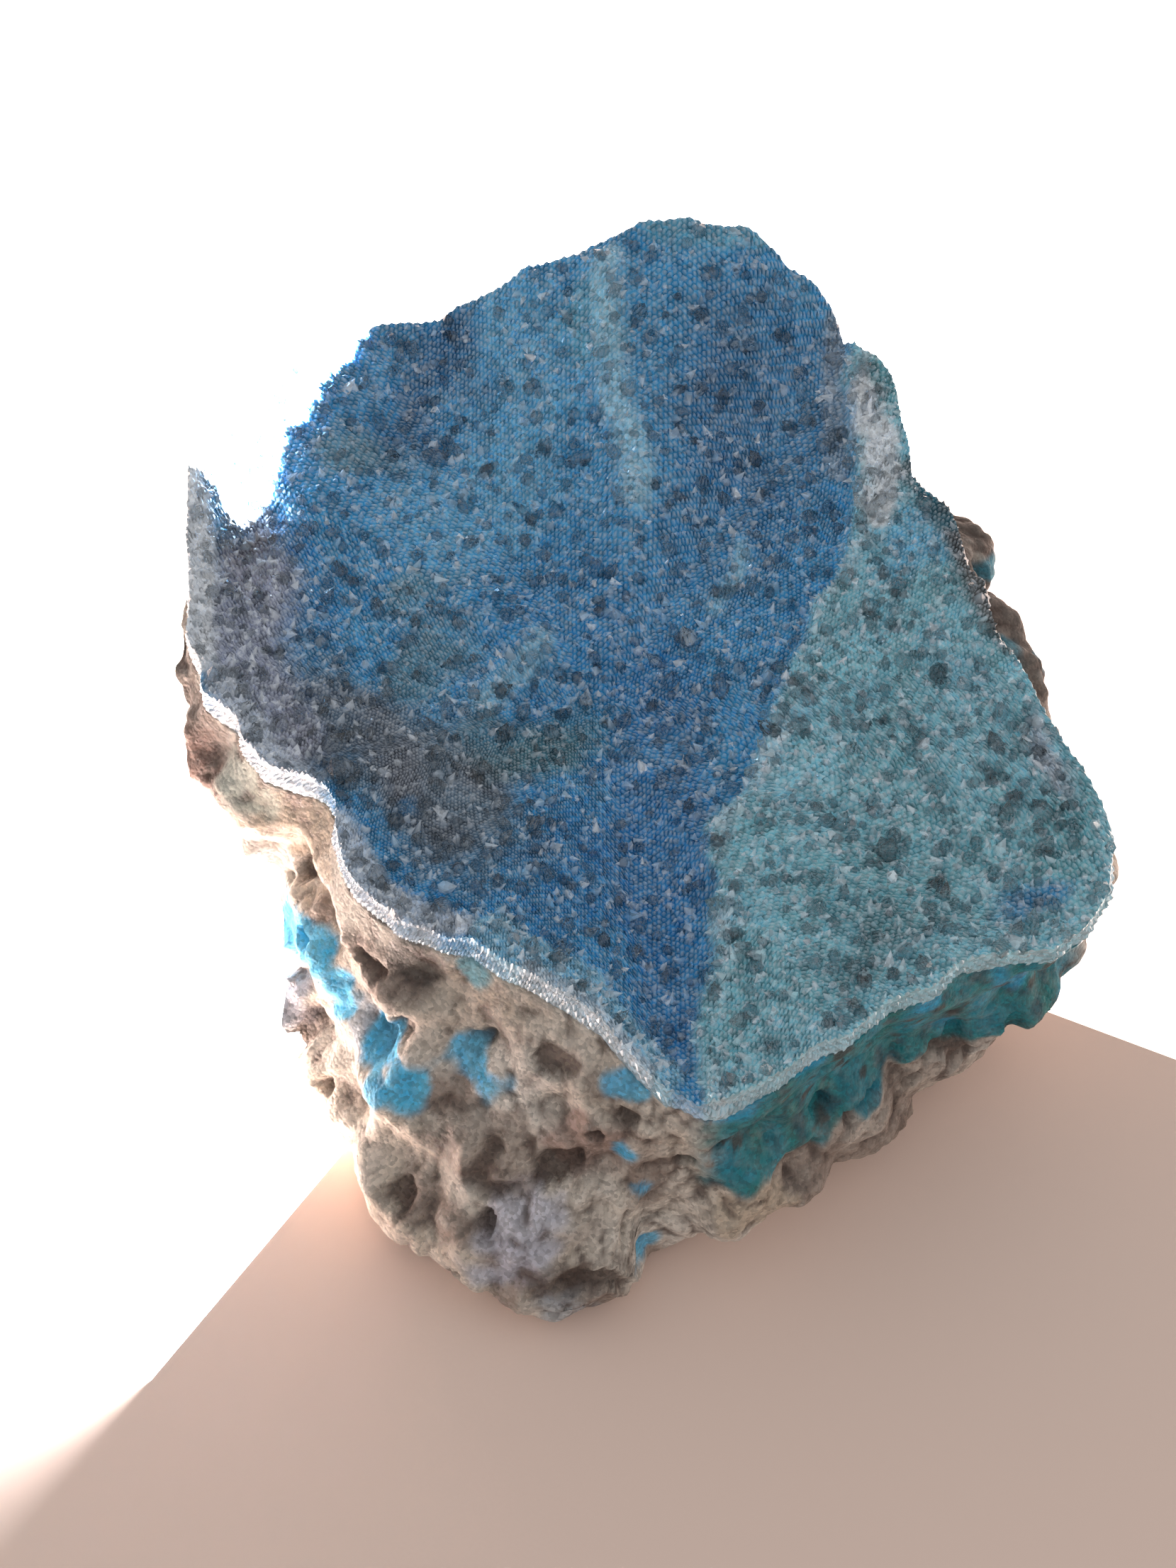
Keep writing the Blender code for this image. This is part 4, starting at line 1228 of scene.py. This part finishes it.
@dataclass
class HostRock:
    """The host rock's visible piece: its body, with crumbly relief and turquoise spots in its colour."""

    patterns: Patterns
    form: RockForm = field(default_factory=RockForm)
    druse: DruseForm = field(default_factory=DruseForm)
    columns: int = 1000
    upper_rows: int = 48
    lower_rows: int = 36
    overlap: float = 0.35
    spots: tuple[Spot, ...] = (
        Spot(-35.5, 18.0, 23.5, 5.5, Tone.GREEN_WHITE, 0.85),
        Spot(-35.7, 8.3, 23.5, 4.5, Tone.MID_BROWN, 0.8),
        Spot(-34.0, 0.0, 22.0, 6.0, Tone.DARK_BROWN, 0.8),
        Spot(-31.9, -4.1, 21.8, 3.4, Tone.RED_BROWN, 0.7),
        Spot(-36.6, -1.0, 11.0, 6.5, Tone.CHALK, 0.8),
        Spot(-24.0, -9.2, 21.9, 5.0, Tone.BEIGE, 0.85),
        Spot(-28.5, -6.5, 25.0, 3.0, Tone.GREEN_WHITE, 0.6),
        Spot(-27.3, -17.1, 7.6, 4.0, Tone.LILAC_GREY, 0.7),
        Spot(-17.6, -21.0, 21.8, 2.6, Tone.MID_BROWN, 0.9),
        Spot(-18.5, -22.4, 14.1, 2.6, Tone.BLUE_GREY, 0.9),
        Spot(-14.1, -21.6, 23.7, 2.6, Tone.BLACK_BROWN, 0.85),
        Spot(-12.8, -31.9, 12.5, 2.0, Tone.BLACK_BROWN, 0.8),
        Spot(-1.5, -33.2, 15.8, 3.6, Tone.RED_BROWN, 0.7),
        Spot(-6.6, -38.5, 9.1, 4.4, Tone.LILAC_GREY, 0.8),
        Spot(-3.4, -41.4, 6.0, 2.6, Tone.DARK_BROWN, 0.8),
        Spot(-2.9, -42.9, 3.4, 3.0, Tone.BLUE_GREY, 0.6),
        Spot(12.1, -36.3, 10.5, 3.2, Tone.BEIGE, 0.8),
        Spot(-8.2, -33.0, 14.0, 4.0, Tone.MID_BROWN, 0.7),
        Spot(33.0, 9.0, 22.0, 8.0, Tone.DARK_BROWN, 0.9),
        Spot(29.0, 20.0, 22.0, 6.0, Tone.DARK_BROWN, 0.85),
        Spot(24.0, -27.0, 11.0, 7.0, Tone.MID_BROWN, 0.6),
    )
    turquoise: tuple[Spot, ...] = (
        Spot(-29.6, -10.0, 9.6, 3.0, Tone.TURQUOISE, 1.0),
        Spot(-26.0, -13.4, 13.0, 3.0, Tone.TURQUOISE, 1.0),
        Spot(-23.0, -16.4, 15.2, 2.6, Tone.TURQUOISE, 1.0),
        Spot(-20.9, -19.8, 14.2, 2.4, Tone.TURQUOISE, 1.0),
        Spot(-17.0, -24.1, 14.8, 2.4, Tone.TURQUOISE, 1.0),
        Spot(-14.9, -28.0, 15.2, 2.4, Tone.TURQUOISE, 1.0),
        Spot(-16.0, -26.4, 13.0, 2.0, Tone.TURQUOISE, 0.9),
        Spot(-10.6, -27.6, 18.4, 1.8, Tone.TURQUOISE, 0.9),
        Spot(-8.0, -28.8, 17.0, 1.8, Tone.TURQUOISE, 0.9),
        Spot(-5.4, -29.8, 16.4, 1.3, Tone.TURQUOISE, 0.8),
        Spot(1.9, -33.8, 15.8, 1.4, Tone.TURQUOISE, 1.0),
        Spot(3.2, -35.2, 12.2, 1.2, Tone.TURQUOISE, 1.0),
        Spot(2.8, -36.2, 10.1, 1.0, Tone.TURQUOISE, 1.0),
        Spot(2.0, -31.2, 22.4, 1.6, Tone.TURQUOISE, 0.9),
        Spot(3.7, -37.8, 4.4, 1.8, Tone.TURQUOISE, 0.9),
        Spot(8.6, -37.8, 8.1, 1.0, Tone.TURQUOISE, 0.8),
        Spot(-38.1, 14.5, 20.4, 1.3, Tone.TURQUOISE, 0.9),
        Spot(-38.7, 5.4, 21.0, 1.0, Tone.TURQUOISE, 0.9),
        Spot(-31.9, -8.6, 8.8, 1.2, Tone.TURQUOISE, 0.9),
        Spot(-9.7, -22.6, 25.0, 1.5, Tone.BAND_TEAL, 0.8),
        Spot(-20.0, 32.0, 20.0, 3.0, Tone.TURQUOISE, 0.7),
        Spot(8.0, 42.0, 22.0, 3.4, Tone.TURQUOISE, 0.7),
        Spot(22.0, 30.0, 21.0, 2.6, Tone.BAND_TEAL, 0.7),
    )

    def __post_init__(self) -> None:
        """Sets up the finishes."""
        self.stone = RockFinish("crumbly_host_rock").material(self.patterns)

    def smooth_wall(self) -> Array:
        """The wall without its relief: straight from the crust to the belly, then a quarter ellipse to the foot.

        Returns:
            Points (rows, columns, 3), from the top down and anticlockwise.
        """
        angle = np.linspace(-np.pi, np.pi, self.columns, endpoint=False)
        rim = place_at(angle, self.druse.edge_reach(angle))
        edge = np.column_stack([rim, self.druse.seam(rim) + self.overlap])
        belly_reach = self.form.belly.at(angle) - self.form.belly_inset
        belly = np.column_stack([place_at(angle, belly_reach), self.form.belly.at(angle, 2)])
        ragged = self.form.foot_raggedness * noise(edge, self.form.foot_lump, SEED + 5)
        foot = np.column_stack([place_at(angle, self.form.foot.at(angle) + ragged), 0.0 * angle])
        share = np.linspace(0.0, 1.0, self.upper_rows + 1)[:, None, None]
        upper = edge + (belly - edge) * share
        turn = (np.arange(1, self.lower_rows + 1) / self.lower_rows * np.pi / 2.0)[:, None, None]
        lower = belly + (foot - belly) * (1.0 - np.cos(turn))
        lower[:, :, 2:] = belly[:, 2:] * (1.0 - np.sin(turn))
        return np.concatenate([upper, lower])

    def outward(self, wall: Array) -> Array:
        """Outward directions of the wall: the cross product of its down and around directions."""
        around = np.roll(wall, -6, axis=1) - np.roll(wall, 6, axis=1)
        return unit(np.cross(np.gradient(wall, axis=0), around))

    def crumbs(self, points: Array) -> tuple[Array, Array]:
        """Fine relief of the crumbly surface, and how high each point stands in it from 0 to 1.

        Domes of three sizes of random cells stand side by side, and the creases between them are deep.

        Args:
            points: Places (N, 3).

        Returns:
            The relief in millimetres and the height share.
        """
        warped = points + 0.5 * np.stack([noise(points, 1.8, SEED + 90 + axis) for axis in range(3)], axis=1)
        coarse, coarse_value = cell_noise(warped, 2.7, SEED + 93)
        fine, fine_value = cell_noise(warped, 1.15, SEED + 97)
        dome = 0.75 * (1.0 + 0.5 * coarse_value) * (0.5 - coarse**1.5)
        grain = 0.42 * (1.0 + 0.5 * fine_value) * (0.5 - fine**1.5)
        pits = smoothstep((noise(points, 2.2, SEED + 101) - 0.35) / 0.3)
        height = np.clip(1.15 - 0.55 * coarse - 0.75 * fine, 0.0, 1.0) * (1.0 - 0.9 * pits)
        return dome + grain - 1.3 * pits, height

    def tint(self, points: Array, height: Array) -> tuple[Array, Array]:
        """Colour of the rock: chalk, grey and beige crumbs with painted shade in the creases and pits, patches,
        turquoise and teal.

        Args:
            points: Places (N, 3) on the wall before its relief.
            height: How high each place stands among the crumbs, from 0 to 1.

        Returns:
            Colours (N, 3), and how much each place is turquoise.
        """
        broad = 0.5 + 0.5 * noise(points, 6.0, SEED + 102)
        ragged = noise(points, 1.6, SEED + 103)
        fine = 0.5 + 0.5 * noise(points, 0.8, SEED + 104)
        colour = mix(np.tile(Tone.CHALK.linear, (len(points), 1)), Tone.BEIGE.linear, broad)
        colour = mix(colour, Tone.WARM_GREY.linear, 0.6 * fine)
        colour = mix(colour, Tone.MID_BROWN.linear, smoothstep((noise(points, 3.6, SEED + 105) - 0.1) / 0.5))
        for spot in self.spots:
            colour = mix(colour, spot.tone.linear, spot.weight(points, ragged))
        # Painted shade: the low creases and pits among the crumbs are darkened towards dark brown.
        colour = mix(colour, Tone.DARK_BROWN.linear, 0.85 * smoothstep((0.5 - height) / 0.35))
        colour = mix(colour, Tone.CHALK.linear, 0.5 * smoothstep((height - 0.7) / 0.3) * fine)
        colour = self.with_band(colour, points, fine, ragged)
        amount = np.zeros(len(points))
        for spot in self.turquoise:
            weight = spot.weight(points, ragged)
            blue = mix(np.tile(spot.tone.linear, (len(points), 1)), Tone.PALE_TURQUOISE.linear, 0.45 * fine)
            colour = mix(colour, blue, weight * (0.55 + 0.45 * smoothstep(height / 0.4)))
            amount = np.maximum(amount, weight)
        return colour, amount

    def with_band(self, colour: Array, points: Array, fine: Array, ragged: Array) -> Array:
        """The colours with the teal band under the crust at the right front, and teal streaks on the ledge.

        Args:
            colour: Colours so far (N, 3).
            points: Places (N, 3).
            fine: Fine noise from 0 to 1.
            ragged: Noise from -1 to 1 that breaks up edges.

        Returns:
            Colours (N, 3).
        """
        x, y, z = points.T
        side = smoothstep((x - 6.0) / 4.0) * smoothstep((-15.0 - y) / 4.0)
        level = smoothstep((z - 12.6 - 1.4 * ragged) / 1.0)
        streaky = 0.5 + 0.5 * noise(points, (1.4, 1.4, 4.0), SEED + 106)
        band = mix(np.tile(Tone.BAND_TEAL.linear, (len(points), 1)), Tone.BAND_GREEN.linear, streaky)
        band = mix(band, Tone.BAND_DARK.linear, 0.8 * smoothstep((fine + streaky - 1.05) / 0.4))
        band = mix(band, Tone.TURQUOISE.linear, 0.6 * smoothstep((noise(points, 2.8, SEED + 107) - 0.3) / 0.4))
        specks = smoothstep((noise(points, 1.2, SEED + 108) - 0.45) / 0.2)
        band = mix(band, Tone.BLACK_BROWN.linear, 0.8 * specks)
        colour = mix(colour, band, side * level)
        ledge = smoothstep((x - 25.0) / 2.0) * smoothstep((y - 3.0) / 3.0) * smoothstep((z - 19.0) / 2.0)
        green = smoothstep((noise(points, (2.0, 2.0, 2.0), SEED + 109) - 0.05) / 0.4)
        return mix(colour, Tone.BAND_TEAL.linear, ledge * green * 0.8)

    def body(self) -> bpy.types.Object:
        """The rock as one closed body: a cap under the crust, the crumbly wall and the flat foot."""
        smooth = self.smooth_wall()
        rows = len(smooth)
        flat = smooth.reshape(-1, 3)
        crumb, height = self.crumbs(flat)
        band = self.form.teal_band(flat)
        relief = self.form.relief(flat) + crumb * (1.0 - 0.6 * band)
        down = np.concatenate([
            np.linspace(0.0, 1.0, self.upper_rows + 1), np.ones(self.lower_rows)
        ]) / self.form.top_fade
        fade = smoothstep(down)[:, None] * smoothstep(smooth[:, :, 2] / self.form.foot_fade)
        moved = relief.reshape(rows, self.columns) * fade
        wall = smooth + moved[..., None] * self.outward(smooth)
        wall[:, :, 2] = np.maximum(wall[:, :, 2], self.form.least_height_share * smooth[:, :, 2])
        colour, amount = self.tint(flat, height)
        ring = np.arange(self.columns)
        faces = [ring_band((row + 1) * self.columns + ring, row * self.columns + ring) for row in range(rows - 1)]
        top = np.array([[*MIDDLE, self.druse.seam(np.array([MIDDLE]))[0] - 2.0]])
        foot = np.array([[*MIDDLE, 0.0]])
        points = np.concatenate([wall.reshape(-1, 3), top, foot])
        last = (rows - 1) * self.columns + ring
        hub = rows * self.columns
        faces.append(np.stack([ring, np.roll(ring, -1), np.full(self.columns, hub)], axis=1))
        faces.append(np.stack([np.roll(last, -1), last, np.full(self.columns, hub + 1)], axis=1))
        plain = np.tile(Tone.WARM_GREY.linear, (2, 1))
        fields = {
            "tint": np.concatenate([colour, plain]),
            "tip": np.concatenate([height, (0.5, 0.5)]),
        }
        piece = add_piece("rock_body", points, np.concatenate(faces), fields, self.stone, smooth=True)
        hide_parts("matrix_rock")
        self.wall = wall.reshape(-1, 3)
        self.wall_colour = colour
        self.wall_height = height
        self.wall_turquoise = amount
        self.wall_outward = self.outward(wall).reshape(-1, 3)
        self.wall_band = band
        return piece


@dataclass
class Studio:
    """The floor, the soft lights and the camera."""

    floor_half_width: float = 3.0
    lens: float = 95.0
    sensor: float = 36.0
    elevation: float = 62.0
    distance: float = 327.0
    target: tuple[float, float, float] = (-1.0, -6.5, 25.0)

    def floor(self) -> None:
        """A plain pale floor under the specimen."""
        half = self.floor_half_width
        mesh = bpy.data.meshes.new("floor")
        corners = [(-half, -half, 0.0), (half, -half, 0.0), (half, half, 0.0), (-half, half, 0.0)]
        mesh.from_pydata(corners, [], [(0, 1, 2, 3)])
        material = bpy.data.materials.new("floor_paper")
        material.use_nodes = True
        shader = material.node_tree.nodes["Principled BSDF"]
        shader.inputs["Base Color"].default_value = (*Tone.FLOOR_PEACH.linear, 1.0)
        shader.inputs["Roughness"].default_value = 0.9
        mesh.materials.append(material)
        floor = bpy.data.objects.new("floor", mesh)
        bpy.context.scene.collection.objects.link(floor)

    def world(self) -> None:
        """Even white light from everywhere."""
        world = bpy.data.worlds.new("soft_white")
        world.use_nodes = True
        sky = world.node_tree.nodes["Background"]
        sky.inputs["Color"].default_value = (1.0, 0.98, 0.96, 1.0)
        sky.inputs["Strength"].default_value = 0.55
        bpy.context.scene.world = world

    def light(self, name: str, place: tuple[float, float, float], size: float, power: float) -> None:
        """A round area light that points at the specimen.

        Args:
            name: The light's name.
            place: Where it stands, in metres.
            size: Its diameter in metres.
            power: Its power in watts.
        """
        data = bpy.data.lights.new(name, "AREA")
        data.shape = "DISK"
        data.size = size
        data.energy = power
        lamp = bpy.data.objects.new(name, data)
        lamp.location = place
        back = unit(np.array([place]) - (0.0, 0.0, 0.02))[0]
        across = unit(np.cross((0.0, 1.0, 0.0), back)[None])[0]
        up = np.cross(back, across)
        turn = np.identity(4)
        turn[:3, 0] = across
        turn[:3, 1] = up
        turn[:3, 2] = back
        turn[:3, 3] = place
        lamp.matrix_world = [list(row) for row in turn.tolist()]
        bpy.context.scene.collection.objects.link(lamp)

    def lights(self) -> None:
        """One broad soft light above, one key from the back left, and small ones that make facets glint."""
        self.light("broad_top", (0.1, 0.25, 0.9), 0.8, 4.0)
        self.light("key_back_left", (-0.45, 0.45, 0.75), 0.12, 2.4)
        self.light("glint_back", (0.1, 0.5, 0.8), 0.05, 0.7)
        self.light("glint_right", (0.45, 0.2, 0.7), 0.05, 0.6)
        self.light("glint_front", (-0.15, -0.2, 0.8), 0.05, 0.4)

    def camera(self) -> None:
        """The camera, looking along +Y and down by its elevation."""
        data = bpy.data.cameras.new("camera")
        data.lens = self.lens
        data.sensor_fit = "VERTICAL"
        data.sensor_height = self.sensor
        data.clip_start = 0.01
        camera = bpy.data.objects.new("camera", data)
        down = np.radians(self.elevation)
        forward = np.array([0.0, np.cos(down), -np.sin(down)])
        spot = np.array(self.target) + ORIGIN_SHIFT - self.distance * forward
        camera.location = (spot * MM).tolist()
        camera.rotation_euler = (np.pi / 2.0 - down, 0.0, 0.0)
        bpy.context.scene.collection.objects.link(camera)
        bpy.context.scene.camera = camera


def main() -> None:
    """Builds the specimen and the studio."""
    logging.basicConfig(level=logging.INFO, format="%(name)s %(message)s")
    bpy.context.scene.view_settings.view_transform = "Standard"
    patterns = Patterns.made()
    rock = HostRock(patterns)
    rock.body()
    druse = Druse(patterns)
    druse.sheet()
    druse.coloured_points()
    druse.clear_points()
    studio = Studio()
    studio.floor()
    studio.world()
    studio.lights()
    studio.camera()


if __name__ == "__main__":
    main()
